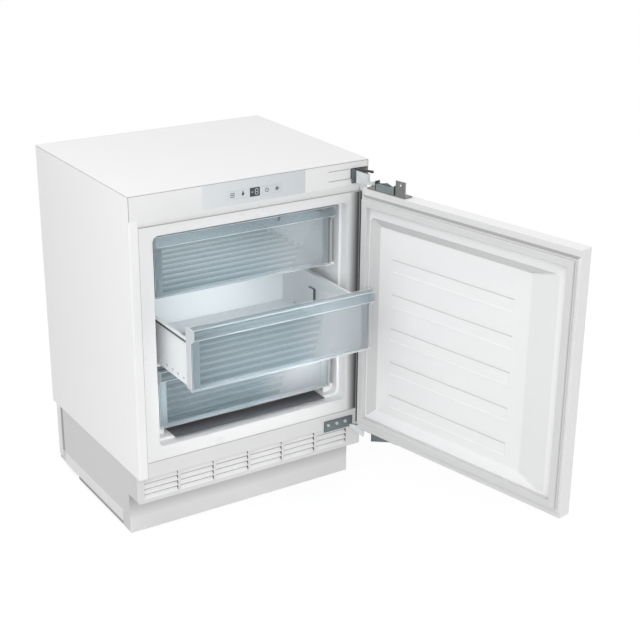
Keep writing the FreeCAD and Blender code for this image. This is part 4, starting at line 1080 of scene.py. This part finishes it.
@dataclass
class Drawer:
    """White tub with a ribbed floor and a clear front."""

    name: str
    rib_shade: Finish = RIB_SHADE
    rib_count: int = 9
    rib_spacing: float = 0.032
    rib_start: float = 0.006
    rib_width: float = 0.015
    rib_height: float = 0.0042
    rib_sink: float = 0.0012
    rib_length: float = 0.4354
    rib_sharp: float = 40.0
    wall: float = 0.0022
    wall_half: float = 0.220
    rim_depth: float = 0.003
    rim_outer: float = 0.2203
    rim_inner: float = 0.216
    stop_start: float = 0.212
    stop_end: float = 0.236
    stop_slack: float = 0.001
    stop_rise: float = 0.03
    stop_inner: float = 0.2
    stop_outer: float = 0.2175
    shade_depth: float = 0.0003
    shade_front: float = 0.02
    shade_rear: float = 0.003
    shade_low: float = 0.0125
    shade_high: float = 0.0022
    bead: float = 0.004
    bead_raise: float = 0.0015
    bead_edge: float = 0.0002
    line: float = 0.0009
    proud: float = 0.00005
    end_drop: float = 0.013
    end_wall: float = 0.003
    end_slack: float = 0.0001
    front_wall: float = 0.003
    lip_radius: float = 0.008
    lip_drop: float = 0.025
    lip_front: float = 0.017
    lip_slack: float = 0.002

    def tub(self) -> Item:
        """White tub with painted shade on its rim and on the stops inside its side walls.

        Returns:
            The tub.
        """
        low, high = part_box(f"drawer_tub_{self.name}")
        start, end = low.y + self.stop_start - self.stop_slack, low.y + self.stop_end + self.stop_slack

        def is_rim(middle: Vector, normal: Vector) -> bool:
            """Whether a face is on the rim at either side."""
            side = abs(middle.x) > (self.rim_inner if normal.z > SQUARE else self.rim_outer)
            return side and middle.z > high.z - self.rim_depth

        def is_stop(middle: Vector, normal: Vector) -> bool:
            """Whether a face is on the stop inside a side wall."""
            along = start < middle.y < end and middle.z > low.z + self.stop_rise
            return along and self.stop_inner < abs(middle.x) < self.stop_outer and abs(normal.x) < SQUARE

        return dress(f"drawer_tub_{self.name}", TUB, 0.0005, 2, [(RIM_SHADE, is_rim), (RIM_SHADE, is_stop)])

    def shades(self) -> Item:
        """Painted shade: a dark strip on each side wall under the rim.

        Returns:
            The strips.
        """
        low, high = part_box(f"drawer_tub_{self.name}")
        lines = []
        for sign in (-1, 1):
            left, right = pair(sign, self.wall_half + self.proud, self.wall_half - self.shade_depth)
            start, stop = low.y + self.shade_front, high.y - self.shade_rear
            lines.append(((left, start, high.z - self.shade_low), (right, stop, high.z - self.shade_high)))
        return piece(f"rim_shades_{self.name}", bars(lines), RIM_SHADE, f"{self.name}_drawer", "tub_plastic")

    def ribs(self, tree: ShapeBench) -> Item:
        """Rounded ribs on the tub's floor.

        Args:
            tree: the tree that lays ribs.

        Returns:
            The ribs.
        """
        low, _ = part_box(f"drawer_tub_{self.name}")
        start = (0.0, low.y + self.wall + self.rib_spacing / 2 + self.rib_start, low.z + self.wall)
        mesh = tree.grow(
            f"floor_ribs_{self.name}", [(0, 0, 0)], self.rib_shade, Count=self.rib_count,
            Spacing=self.rib_spacing, Length=self.rib_length, Width=self.rib_width, Height=self.rib_height,
            Sink=self.rib_sink, Start=start,
        )
        smooth(mesh, self.rib_sharp)
        return settle(mesh.name, mesh, f"{self.name}_drawer", "tub_plastic")

    def front(self) -> Item:
        """Clear front with a thinner lip, denser ends and a painted reflection towards its right end.

        Returns:
            The front.
        """
        low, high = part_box(f"drawer_front_{self.name}")
        end = high.x - self.end_wall

        def is_end(middle: Vector, normal: Vector) -> bool:
            """Whether a face is on an end wall."""
            return abs(middle.x) > end - self.end_slack

        def is_lip(middle: Vector, normal: Vector) -> bool:
            """Whether a face is on the hooked lip."""
            return abs(middle.x) < end and middle.y < low.y + self.lip_front - self.lip_slack

        choices = [(CLEAR_LIP, is_lip), (CLEAR_EDGE, is_end)]
        return dress(f"drawer_front_{self.name}", CLEAR_REFLECTING, 0.0007, 3, choices)

    def highlight_bars(self) -> Item:
        """Painted highlights on the edges of the clear front: round its plate, along its lip and on its end
        walls.

        Returns:
            The highlights.
        """
        low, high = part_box(f"drawer_front_{self.name}")
        half, plate, line, proud = high.x, low.y + self.lip_front, self.line, self.proud
        face, back, grip = plate - self.bead_raise, plate + self.front_wall, high.z - self.lip_drop
        near, far, thin = face - proud, face + line, line / 2
        bend = self.lip_radius * (1 - math.sqrt(0.5))
        bend_y, bend_z = low.y + bend, high.z - bend
        boxes = [
            ((-half, near, low.z), (half, far, low.z + line)),
            ((-half, near, low.z + self.bead - line), (half, far, low.z + self.bead)),
            ((-half, low.y - proud, grip), (half, low.y + line, grip + line)),
            ((-half, bend_y - thin, bend_z - thin), (half, bend_y + thin, bend_z + thin)),
            ((-half, back - line, high.z - line), (half, back + proud, high.z + proud)),
        ]
        for sign in (-1, 1):
            for inset in (-proud, self.bead - line):
                left, right = pair(sign, half - inset, half - inset - line)
                boxes.append(((left, near, low.z), (right, far, grip - self.end_drop)))
            left, right = pair(sign, half + proud, half - line)
            boxes.append(((left, high.y - line, low.z + self.end_wall), (right, high.y + proud, high.z)))
        name, body = f"front_beads_{self.name}", f"{self.name}_drawer"
        return piece(name, bars(boxes), BEAD_HIGHLIGHT, body, "clear_plastic", edge=self.bead_edge)

    def build(self, tree: ShapeBench) -> list[Item]:
        """Dress the drawer with its floor laid by a tree."""
        return [self.tub(), self.shades(), self.ribs(tree), self.front(), self.highlight_bars()]


class Mark(Enum):
    """Plain signs printed on the keys, by the key that has each."""

    BARS = "outer_left"
    DROP = "inner_left"
    RING = "inner_right"
    FLAKE = "outer_right"


@dataclass
class ControlPanel:
    """Fascia, its film, the display and the four keys."""

    front: float = -0.066
    print_proud: float = 0.00012
    print_sink: float = 0.0002
    stroke: float = 0.0013
    stroke_gap: float = 0.25
    display_left: float = -0.0105
    display_bottom: float = 0.774
    display_width: float = 0.025
    digit_share: float = 0.5
    digit_rise: float = 0.0035
    digit_width: float = 0.0085
    digit_height: float = 0.0135
    minus_share: float = 0.13
    minus_rise: float = 0.0103
    minus_length: float = 0.0052
    mark_size: float = 0.0056
    mark_stroke: float = 0.28

    def dash(self, x: float, z: float, length: float) -> Outline:
        """Outline of a level stroke with pointed ends.

        Args:
            x: its left end.
            z: its middle line.
            length: how long it is.

        Returns:
            The outline.
        """
        half, end = self.stroke / 2, x + length
        lower = [(x + half, z - half), (end - half, z - half)]
        upper = [(end - half, z + half), (x + half, z + half)]
        return [(x, z), *lower, (end, z), *upper]

    def digit(self) -> list[Outline]:
        """Outlines of a digit eight's strokes.

        Returns:
            One outline for each stroke.
        """
        half, gap = self.stroke / 2, self.stroke * self.stroke_gap
        left = self.display_left + self.display_width * self.digit_share
        bottom = self.display_bottom + self.digit_rise
        rows = (bottom + half, bottom + self.digit_height / 2, bottom + self.digit_height - half)
        outlines = [self.dash(left + half + gap, row, self.digit_width - 2 * (half + gap)) for row in rows]
        for side in (left + half, left + self.digit_width - half):
            for low, high in zip(rows, rows[1:]):
                lying = self.dash(low + gap, side, high - low - 2 * gap)
                outlines.append([(x, z) for z, x in lying])
        return outlines

    def mark(self, kind: Mark, x: float, z: float) -> list[Outline]:
        """Outlines of a key's sign.

        Args:
            kind: which sign.
            x: its middle across.
            z: its middle up.

        Returns:
            One outline for each stroke.
        """
        size, thin = self.mark_size, self.mark_size * self.mark_stroke
        if kind is Mark.BARS:
            step = size * 0.7
            rows = (z - step, z, z + step)
            return [oblong(x - size, row - thin / 2, x + size, row + thin / 2) for row in rows]
        if kind is Mark.DROP:
            tip, wing, neck = z - size * 0.9, size * 0.8, z + size * 0.2
            point = [(x, tip), (x + wing, neck), (x - wing, neck)]
            return [point, oblong(x - thin, neck, x + thin, z + size)]
        strokes = []
        if kind is Mark.FLAKE:
            for turn in (0.0, math.pi / 3, 2 * math.pi / 3):
                along = Vector((math.cos(turn), math.sin(turn))) * size
                side = Vector((-along.y, along.x)) * (thin / size / 2)
                corners = (-along - side, along - side, along + side, -along + side)
                strokes.append([(x + corner.x, z + corner.y) for corner in corners])
            return strokes
        inner, outer, start, sweep, steps = size * 0.62, size * 0.85, 120, 300, 14
        turns = [math.radians(start + sweep * step / steps) for step in range(steps + 1)]
        for a, b in zip(turns, turns[1:]):
            ends = ((inner, a), (outer, a), (outer, b), (inner, b))
            strokes.append([(x + reach * math.cos(turn), z + reach * math.sin(turn)) for reach, turn in ends])
        return [*strokes, oblong(x - thin / 2, z, x + thin / 2, z + size)]

    def shown(
        self, name: str, outlines: Iterable[Outline], finish: Finish, body: str, slot: str
    ) -> Item:
        """Lay flat strokes on the panel's face.

        Args:
            name: the piece's name.
            outlines: one for each stroke.
            finish: what they have all over.
            body: the body that they move with.
            slot: the record's slot for their finish.

        Returns:
            The strokes.
        """
        shape = slabs(outlines, self.front - self.print_proud, self.front + self.print_sink)
        return piece(name, shape, finish, body, slot)

    def display(self) -> Item:
        """Lit strokes of a temperature on the window's face.

        Returns:
            The strokes.
        """
        left = self.display_left + self.display_width * self.minus_share
        minus = self.dash(left, self.display_bottom + self.minus_rise, self.minus_length)
        return self.shown("display_strokes", [*self.digit(), minus], DIGITS, "cabinet", "display_glass")

    def sign(self, kind: Mark) -> Item:
        """Sign on a key.

        Args:
            kind: which sign.

        Returns:
            Its strokes.
        """
        key = kind.value
        low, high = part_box(f"key_{key}")
        outlines = self.mark(kind, (low.x + high.x) / 2, (low.z + high.z) / 2)
        return self.shown(f"sign_{key}", outlines, INK, f"{key}_key", "overlay_plastic")

    def build(self) -> list[Item]:
        """Dress the control panel.

        Returns:
            The pieces.
        """
        return [
            *[dress(f"key_{kind.value}", FILM, 0.0002) for kind in Mark],
            dress("fascia", FASCIA, 0.0007),
            dress("hinge_cover", FASCIA, 0.0006),
            dress("control_overlay", FILM, 0.0003),
            dress("display_window", GLASS, 0.0004),
            coat("control_board", BOARD),
            self.display(),
            *[self.sign(kind) for kind in Mark],
        ]


@dataclass
class Door:
    """Open door: skin, end caps, lining with its bands, and the seal."""

    hinge: Point = (0.287, -0.108, 0.0)
    open_angle: float = 101.6
    inner: float = -0.079
    flange_slack: float = 0.0003
    seal_half: float = 0.2805
    seal_low: float = 0.1995
    seal_high: float = 0.7355
    seal_edge: float = 0.0012
    groove_place: float = 0.0118
    groove_rise: float = 0.0002
    groove_width: float = 0.0066
    groove_depth: float = 0.0006
    groove_edge: float = 0.0001
    ramp_end: float = -0.176
    ramp_slack: float = 0.001
    wall_lean: float = 0.3
    recess_floor: float = -0.091
    band_sink: float = 0.0002
    band_face: float = -0.0895
    band_proud: float = 0.0001
    band_ends: tuple[float, float] = (-0.134, 0.208)
    band_first: float = 0.269
    band_spacing: float = 0.083
    band_half: float = 0.014
    band_count: int = 5
    band_line: float = 0.0024

    def swung(self) -> Matrix:
        """From the shut door's place to the open door's.

        Returns:
            The turn about the hinge.
        """
        at = Vector(self.hinge)
        turn = Matrix.Rotation(math.radians(self.open_angle), 4, "Z")
        return Matrix.Translation(at) @ turn @ Matrix.Translation(-at)

    def shut(self, place: Vector) -> Vector:
        """A place on the open door, taken back to the shut door."""
        return self.swung().inverted() @ place

    def ring(self, reach: float, depth: float) -> list[Point]:
        """Corners of a ring for the shut door, outside the seal's middle line and at a place along Y."""
        half, low, high = self.seal_half + reach, self.seal_low - reach, self.seal_high + reach
        return [(x, depth, z) for x, z in oblong(-half, low, half, high)]

    def swept(
        self, name: str, strips: Sequence[tuple[float, float, float, float]], finish: Finish, edge: float,
        slot: str, *nodes: str, choices: Sequence[Choice] = (),
    ) -> Item:
        """Lay mitred strips round the door along the seal's line.

        Args:
            name: the piece's name.
            strips: each strip's place across the seal, its height, its width and its thickness.
            finish: what they have all over.
            edge: rounding of their edges.
            slot: the record's slot for the finish.
            nodes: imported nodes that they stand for.
            choices: other finishes, and the test for the faces that have each.

        Returns:
            The piece.
        """
        shape = bmesh.new()
        for place, height, width, thick in strips:
            rings = []
            for side, rise in ((-1, -1), (-1, 1), (1, 1), (1, -1)):
                corners = self.ring(place + side * width / 2, self.inner + height + rise * thick / 2)
                rings.append([shape.verts.new(corner) for corner in corners])
            for first, second in zip(rings, rings[1:] + rings[:1]):
                for step in range(4):
                    after = (step + 1) % 4
                    shape.faces.new((first[step], first[after], second[after], second[step]))
        bmesh.ops.recalc_face_normals(shape, faces=shape.faces)
        shape = placed(shape, self.swung())
        return piece(name, shape, finish, "door", slot, *nodes, edge=edge, segments=3, choices=choices)

    def seal(self) -> Item:
        """Seal with its fixing foot, bellows and soft sealing face.

        Returns:
            The seal.
        """
        lips = [
            (0.0, 0.0022, 0.0188, 0.0040),
            (-0.0058, 0.0066, 0.0030, 0.0092),
            (0.0042, 0.0066, 0.0034, 0.0092),
            (-0.0006, 0.0098, 0.0160, 0.0052),
            (0.0080, 0.0048, 0.0026, 0.0050),
        ]
        return self.swept("door_seal", lips, GASKET, self.seal_edge, "gasket_rubber", "door_gasket")

    def groove_shade(self) -> Item:
        """Painted shade in the gap between the seal and the door's edge, darker above the seal.

        Returns:
            The shaded strip.
        """
        strips = [(self.groove_place, self.groove_rise, self.groove_width, self.groove_depth)]
        choices = [(GROOVE_TOP_SHADE, self.is_upper)]
        return self.swept("seal_groove", strips, GROOVE_SHADE, self.groove_edge, "white_plastic", choices=choices)

    def bands(self, tree: ShapeBench) -> list[Item]:
        """Painted shade above and painted highlight below the bands across the lining, as thin bars.

        Args:
            tree: the tree that repeats a bar.

        Returns:
            The lower highlights and the upper shades.
        """
        left, right = self.band_ends
        back, face = self.recess_floor - self.band_sink, self.band_face + self.band_proud
        size = (right - left, face - back, self.band_line)
        heights = [self.band_first + number * self.band_spacing for number in range(self.band_count)]
        edges = (("lower", -self.band_half, BAND_HIGHLIGHT), ("upper", self.band_half, BAND_SHADE))
        made = []
        for name, rise, finish in edges:
            seats = [((left + right) / 2, (back + face) / 2, height + rise) for height in heights]
            mesh = tree.grow(f"band_edges_{name}", seats, finish, Size=size)
            mesh.transform(self.swung())
            made.append(settle(mesh.name, mesh, "door", "white_plastic"))
        return made

    def is_upper(self, middle: Vector, normal: Vector) -> bool:
        """Whether a face is above the seal."""
        return middle.z > self.seal_high + self.groove_place / 2

    def is_flange(self, middle: Vector, normal: Vector) -> bool:
        """Whether a face is on the flat edge round the recess."""
        return self.shut(middle).y > self.inner - self.flange_slack

    def is_ramp(self, middle: Vector, normal: Vector) -> bool:
        """Whether a face is on the long slope by the free edge."""
        return self.shut(middle).x < self.ramp_end and self.shut(middle).y < self.inner - self.ramp_slack

    def is_wall(self, middle: Vector, normal: Vector) -> bool:
        """Whether a face is on the recess's upper wall or on its wall by the hinge."""
        upright = abs(normal.z) < self.wall_lean
        return normal.z < -self.wall_lean or (upright and normal.y < -SLANTED and normal.x < -SLANTED)

    def is_front(self, middle: Vector, normal: Vector) -> bool:
        """Whether a face of a cap looks into the room and not up."""
        return normal.z < SLANTED

    def is_end(self, middle: Vector, normal: Vector) -> bool:
        """Whether a face looks away from the hinge."""
        return (self.swung().to_3x3().inverted() @ normal).x < -SQUARE

    def build(self, tree: ShapeBench) -> list[Item]:
        """Dress the door.

        Args:
            tree: the tree that repeats a bar.

        Returns:
            The pieces.
        """
        # Painted shade: the caps' room-facing faces are darker than their tops.
        ends = [(DOOR_CAP_SHADE, self.is_front), (DOOR_ENAMEL, self.is_end)]
        # Painted shade on the lining's slope and on the recess's walls.
        walls = [(DOOR_RAMP_SHADE, self.is_ramp), (RECESS_WALL_SHADE, self.is_wall), (DOOR_FLANGE, self.is_flange)]
        return [
            dress("door_skin", DOOR_ENAMEL, 0.0003),
            *[dress(f"door_cap_{end}", DOOR_FLANGE, 0.0012, 3, ends) for end in ("top", "bottom")],
            dress("door_liner", DOOR_LINER, 0.0009, 3, walls),
            coat("door_insulation", FOAM),
            self.seal(),
            self.groove_shade(),
            *self.bands(tree),
        ]


@dataclass
class Hinges:
    """Brackets on the cabinet, leaves on the door, and what holds them."""

    block_right: float = 0.2655
    block_front: float = -0.0745
    roof_level: float = 0.7812
    lower_face: float = -0.070
    lower_slack: float = 0.001
    head_radius: float = 0.0042
    head_height: float = 0.0026
    head_shares: tuple[float, ...] = (0.12, 0.42, 0.72)
    plate_left: float = 0.186
    plate_width: float = 0.079
    plate_low: float = 0.160
    plate_high: float = 0.187
    link_start: Point = (0.258, -0.070, 0.7985)
    link_end: Point = (0.2855, -0.0975, 0.7940)
    link_half: float = 0.0022
    link_head: float = 0.0046
    link_thickness: float = 0.0045
    link_edge: float = 0.0004
    case_low: Point = (0.204, -0.096, 0.767)
    case_high: Point = (0.262, -0.083, 0.787)
    case_band: float = 0.0022
    case_proud: float = 0.0004
    case_edge: float = 0.0003

    def screws(self, tree: ShapeBench) -> Item:
        """Slotted heads of the screws that show.

        Args:
            tree: the tree that makes screw heads.

        Returns:
            The heads on the lower plate.
        """
        face, level = self.lower_face - self.head_height / 2, (self.plate_low + self.plate_high * 2) / 3
        seats = [(self.plate_left + self.plate_width * share, face, level) for share in self.head_shares]
        sizes = {"Radius": self.head_radius, "Height": self.head_height, "Turn": (math.pi / 2, 0.0, 0.0)}
        mesh = tree.grow("hinge_screw_heads", seats, BRIGHT, **sizes)
        return settle(mesh.name, mesh, "cabinet", "bright_steel")

    def link(self) -> Item:
        """Dark bar with a round head along the arm's upper edge.

        Returns:
            The bar.
        """
        start, end = Vector(self.link_start), Vector(self.link_end)
        along = (end - start).normalized()
        across = along.cross(Vector((0, 0, 1))).normalized()
        place = Matrix((along, across.cross(along), across)).transposed().to_4x4()
        place.translation = start
        reach, half, head = (end - start).length, self.link_half, self.link_head
        bend, step = 140, 20
        turns = [math.radians(turn) for turn in range(-bend, bend + step, step)]
        arc = [(reach + head * math.cos(turn), head * math.sin(turn)) for turn in turns]
        shape = slabs([[(0.0, -half), *arc, (0.0, half)]], 0.0, self.link_thickness)
        return piece("hinge_link", placed(shape, place), LINK, "cabinet", "hinge_steel", edge=self.link_edge)

    def case(self, door: Matrix) -> Item:
        """Dark bands round the ends of the closing unit.

        Args:
            door: from the shut door's place to the open door's.

        Returns:
            The bands.
        """
        out = Vector((self.case_proud,) * 3)
        low, high = Vector(self.case_low) - out, Vector(self.case_high) + out
        shape = bars([
            (low, (low.x + self.case_band, high.y, high.z)), ((high.x - self.case_band, low.y, low.z), high),
        ])
        shape = placed(shape, door)
        return piece("closing_unit_bands", shape, LINK, "door", "hinge_steel", edge=self.case_edge)

    def is_block(self, middle: Vector, normal: Vector) -> bool:
        """Whether a face is on the block in the fascia's notch."""
        return middle.x < self.block_right and middle.y > self.block_front

    def is_plate(self, middle: Vector, normal: Vector) -> bool:
        """Whether a face is on the lower plate."""
        return middle.y > self.lower_face - self.lower_slack

    def is_roof(self, middle: Vector, normal: Vector) -> bool:
        """Whether a face is on the bent strip over the closing unit."""
        return middle.z > self.roof_level

    def build(self, tree: ShapeBench, door: Matrix) -> list[Item]:
        """Dress the hinges.

        Args:
            tree: the tree that makes screw heads.
            door: from the shut door's place to the open door's.

        Returns:
            The pieces.
        """
        return [
            dress("hinge_bracket_upper", ZINC_ARM, 0.0007, 3, [(DARK_ZINC, self.is_block)]),
            dress("hinge_bracket_lower", ZINC_ARM, 0.0006, 3, [(DARK_ZINC, self.is_plate)]),
            dress("hinge_leaf_upper", LEAF, 0.0005),
            dress("hinge_leaf_lower", DARK_ZINC, 0.0006),
            dress("hinge_spring_unit", GREEN_ZINC, 0.0006, 2, [(DARK_ZINC, self.is_roof)]),
            dress("hinge_pins", DARK_ZINC, 0.0008),
            dress("hinge_screws", BRIGHT, 0.0004),
            dress("leaf_screws", BRIGHT, 0.0003),
            self.link(),
            self.case(door),
            self.screws(tree),
        ]


@dataclass
class Base:
    """Lower front, grille, plinth, base sides, pan, feet and rollers."""

    half: float = 0.296
    strip_slack: float = 0.0002
    fold_proud: float = 0.0001
    fold_depth: float = 0.0004
    fold: float = 0.022
    fold_heights: tuple[float, float] = (0.045, 0.1645)
    shade: float = 0.012
    rear: float = 0.412
    clearance: float = 0.014
    rail_ends: tuple[float, float] = (0.0385, 0.2955)
    rail_low: float = 0.0042
    rail_gap: float = 0.0003
    grille_front: float = -0.056
    grille_slack: float = 0.0005
    grille_half: float = 0.292
    grille_end: float = 0.0012
    grille_turn: float = 0.95
    grille_left: float = -0.283
    grille_right: float = 0.263
    grille_bays: int = 6
    grille_post: float = 0.007
    louvre_count: int = 4
    louvre_first: float = 0.110
    louvre_rise: float = 0.013375
    louvre_throat: float = 0.008875
    louvre_depth: float = 0.009
    slit_depth: float = 0.0022
    slit_height: float = 0.0025
    slit_drop: float = 0.00095
    slots_low: float = 0.103
    slots_high: float = 0.162

    def in_slot(self, middle: Vector, normal: Vector) -> bool:
        """Whether a face is an end wall inside one of the grille's slots."""
        inside = abs(middle.x) < self.grille_half and self.slots_low < middle.z < self.slots_high
        return inside and abs(normal.x) > SQUARE

    def is_face(self, middle: Vector, normal: Vector) -> bool:
        """Whether a face is on the grille's flat front or on its ends."""
        ahead = normal.y < -self.grille_turn and middle.y < self.grille_front + self.grille_slack
        return ahead or abs(middle.x) > self.grille_half - self.grille_end

    def is_strip(self, middle: Vector, normal: Vector) -> bool:
        """Whether a face is on a base side's raised strip or folded edge."""
        return abs(middle.x) > self.half + self.strip_slack

    def slits(self, tree: ShapeBench) -> Item:
        """Painted shade: dark bars at the top of each louvre's slope.

        Args:
            tree: the tree that repeats a bar.

        Returns:
            The bars.
        """
        bay = (self.grille_right - self.grille_left) / self.grille_bays
        wide = bay - self.grille_post
        depth = self.grille_front + self.louvre_depth - self.slit_depth / 2
        first = self.louvre_first + self.louvre_throat - self.slit_drop
        seats = [
            (self.grille_left + number * bay + wide / 2, depth, first + step * self.louvre_rise)
            for number in range(self.grille_bays) for step in range(self.louvre_count)
        ]
        mesh = tree.grow("grille_slits", seats, SLIT_SHADE, Size=(wide, self.slit_depth, self.slit_height))
        return settle(mesh.name, mesh, "cabinet", "white_plastic")

    def fold_shades(self) -> Item:
        """Painted shade beside the folded rear edge of each base side, and on its rail.

        Returns:
            The lines.
        """
        fold = self.rear - self.fold
        lines = []
        for sign in (-1, 1):
            across = pair(sign, self.half + self.fold_proud, self.half - self.fold_depth)
            lines.append(tuple(zip(across, (fold - self.shade, fold), self.fold_heights)))
            lines.append(tuple(zip(across, self.rail_ends, (self.rail_low, self.clearance - self.rail_gap))))
        return piece("base_folds", bars(lines), BASE_SHADE, "cabinet", "base_steel")

    def build(self, tree: ShapeBench) -> list[Item]:
        """Dress the base.

        Args:
            tree: the tree that repeats a bar.

        Returns:
            The pieces.
        """
        slotted = [(GRILLE_FACE_SHADE, self.is_face), (SLOT_SHADE, self.in_slot)]
        return [
            dress("lower_front_panel", LOWER, 0.0005),
            dress("ventilation_grille", GRILLE, 0.0004, 2, slotted),
            dress("plinth", PLINTH_SHADOWED, 0.0008, 3),
            *[dress(f"base_side_{side}", BASE, 0.0005, 2, [(BASE_STRIP, self.is_strip)]) for side in SIDES],
            self.slits(tree),
            self.fold_shades(),
            dress("base_pan", ZINC, 0.0004),
            dress("cable_gland", BLACK),
            *[dress(f"{kind}_{side}", BLACK) for kind in ("front_foot", "rear_roller") for side in SIDES],
        ]


@dataclass
class Machine:
    """Compressor, fan, condenser and pipes in the base."""

    edge: float = 0.0015

    def build(self) -> list[Item]:
        """Dress the machine.

        Returns:
            The pieces.
        """
        return [
            dress("compressor", BLACK_STEEL, 0.004, 3),
            dress("compressor_mounts", RUBBER, self.edge, 3),
            dress("terminal_box", BLACK, 0.003, 3),
            dress("fan_shroud", BLACK, 0.0004),
            dress("fan_blade", BLACK, 0.0005),
            dress("fan_motor", CAST, self.edge),
            coat("condenser_coil", BLACK_STEEL),
            dress("filter_drier", COPPER, 0.003, 3),
            coat("refrigerant_pipes", COPPER),
        ]


# Studio


WHITE = (1.0, 1.0, 1.0, 1.0)


@dataclass(frozen=True)
class Lamp:
    """A soft light: where it stands, what it points at, its size, its watts and how wide it opens."""

    name: str
    place: Point
    aim: Point
    size: tuple[float, float]
    power: float
    spread: float = 180.0
    inside: bool = False

    def stand(self, food: bpy.types.Collection) -> None:
        """Put the light into the scene.

        Args:
            food: the pieces in the food space, which are all that an inside light shines on.
        """
        data = bpy.data.lights.new(self.name, "AREA")
        data.shape = "RECTANGLE"
        data.size, data.size_y = self.size
        data.energy = self.power
        data.spread = math.radians(self.spread)
        item = linked(self.name, data)
        item.location = self.place
        item.rotation_euler = (Vector(self.aim) - Vector(self.place)).to_track_quat("-Z", "Y").to_euler()
        item.light_linking.receiver_collection = food if self.inside else None


LAMPS = (
    Lamp("key", (-1.7, -2.9, 1.9), (0.0, 0.0, 0.5), (1.8, 1.8), 27.0),
    Lamp("top", (-0.9, -0.6, 2.8), (-0.1, 0.0, 0.8), (1.6, 1.6), 12.0),
    Lamp("side", (-1.2, 0.1, 1.7), (-0.3, 0.15, 0.75), (0.8, 0.8), 2.0),
    Lamp("above", (-0.10, -0.75, 0.75), (0.0, 0.0, 0.43), (0.3, 0.3), 0.14, 26.0, True),
    Lamp("drawers", (0.0, -0.75, 0.47), (0.0, 0.0, 0.47), (0.36, 0.36), 0.2, 22.0, True),
    Lamp("roof", (0.0, 0.16, 0.712), (0.0, 0.16, 0.3), (0.36, 0.36), 0.3),
    Lamp("low", (0.0, -0.75, 0.38), (0.0, -0.03, 0.335), (0.42, 0.08), 0.18, 10.0, True),
    Lamp("base", (-0.4, -2.2, 0.30), (0.0, -0.06, 0.09), (0.5, 0.5), 0.11, 16.0),
)


@dataclass
class Studio:
    """Pale floor, soft light and the camera."""

    focal: float = 75.794
    sensor: float = 36.0
    reach: float = 200.0
    azimuth: float = -0.57332
    elevation: float = 0.37751
    roll: float = 0.01015
    distance: float = 3.2504
    shift: tuple[float, float] = (0.29347, -0.02411)
    target: Point = (0.0, 0.209, 0.420)
    floor_size: float = 60.0
    floor_level: float = -0.0004
    floor_tone: float = 0.82
    floor_roughness: float = 0.9
    floor_glow: float = 1.24
    floor_share: float = 0.62
    sky: float = 0.70

    def camera(self) -> None:
        """Stand the camera where the photograph was taken."""
        cos_up, sin_up = math.cos(self.elevation), math.sin(self.elevation)
        back = Vector((math.sin(self.azimuth) * cos_up, -math.cos(self.azimuth) * cos_up, sin_up))
        right = (-back).cross(Vector((0, 0, 1))).normalized()
        up = right.cross(-back)
        cos_roll, sin_roll = math.cos(self.roll), math.sin(self.roll)
        right, up = right * cos_roll + up * sin_roll, up * cos_roll - right * sin_roll
        place = Vector(self.target) + right * self.shift[0] + up * self.shift[1] + back * self.distance
        data = bpy.data.cameras.new("camera")
        data.lens = self.focal
        data.sensor_width = self.sensor
        data.clip_end = self.reach
        item = linked("camera", data)
        item.matrix_world = Matrix.Translation(place) @ Matrix((right, up, back)).transposed().to_4x4()
        bpy.context.scene.camera = item

    def seen(self, bench: Bench) -> Value:
        """One for rays that show a surface directly, in a reflection or through glass.

        Args:
            bench: the tree that asks.

        Returns:
            One or zero.
        """
        kinds = ("Is Camera Ray", "Is Glossy Ray", "Is Transmission Ray")
        first, second, third = (bench.add("ShaderNodeLightPath", output=kind) for kind in kinds)
        return first.most(second).most(third)

    def world(self) -> None:
        """Even light from all round, with a white background behind it."""
        world = bpy.data.worlds.new("studio")
        bpy.context.scene.world = world
        world.use_nodes = True
        bench = Bench(world.node_tree)
        world.node_tree.nodes.clear()
        light, white = (
            bench.add("ShaderNodeBackground", None, {"Color": WHITE, "Strength": strength})
            for strength in (self.sky, 1.0)
        )
        shown = bench.add("ShaderNodeMixShader", None, {0: self.seen(bench), 1: light, 2: white})
        output = world.node_tree.nodes.new("ShaderNodeOutputWorld")
        bench.join(output.inputs["Surface"], shown)

    def floor(self) -> None:
        """Pale floor that takes the shadow."""
        mesh = bpy.data.meshes.new("floor")
        half = self.floor_size / 2
        corners = [(x, y, self.floor_level) for x, y in oblong(-half, -half, half, half)]
        mesh.from_pydata(corners, [], [(0, 1, 2, 3)])
        bench = SurfaceBench("studio_floor")
        bench.feed(Base_Color=(*grey(self.floor_tone), 1.0), Roughness=self.floor_roughness)
        white = bench.add("ShaderNodeEmission", None, {"Color": WHITE, "Strength": self.floor_glow})
        share = self.seen(bench) * self.floor_share
        bench.show(bench.add("ShaderNodeMixShader", None, {0: share, 1: bench.shader, 2: white}))
        mesh.materials.append(bench.material)
        linked("floor", mesh)

    def build(self, inside: Iterable[Item]) -> None:
        """Set up the studio.

        Args:
            inside: the pieces in the food space, which have lamps of their own.
        """
        bpy.context.scene.view_settings.view_transform = "Standard"
        food = bpy.data.collections.new("food_space")
        for item in inside:
            food.objects.link(item)
        self.world()
        self.floor()
        for lamp in LAMPS:
            lamp.stand(food)
        self.camera()


def main() -> None:
    """Build every sub-assembly in order, then the studio."""
    logging.basicConfig(level=logging.INFO, format="%(message)s")
    ribs, screws, repeated, door = rib_tree(), screw_tree(), bar_tree(), Door()
    CabinetShell().build()
    inside = FoodSpace().build()
    for drawer in (Drawer("bottom", DEEP_RIB_SHADE), Drawer("middle"), Drawer("top", PALE_RIB_SHADE)):
        inside += drawer.build(ribs)
    ControlPanel().build()
    door.build(repeated)
    Hinges().build(screws, door.swung())
    Base().build(repeated)
    Machine().build()
    Studio().build(inside)


if __name__ == "__main__":
    main()
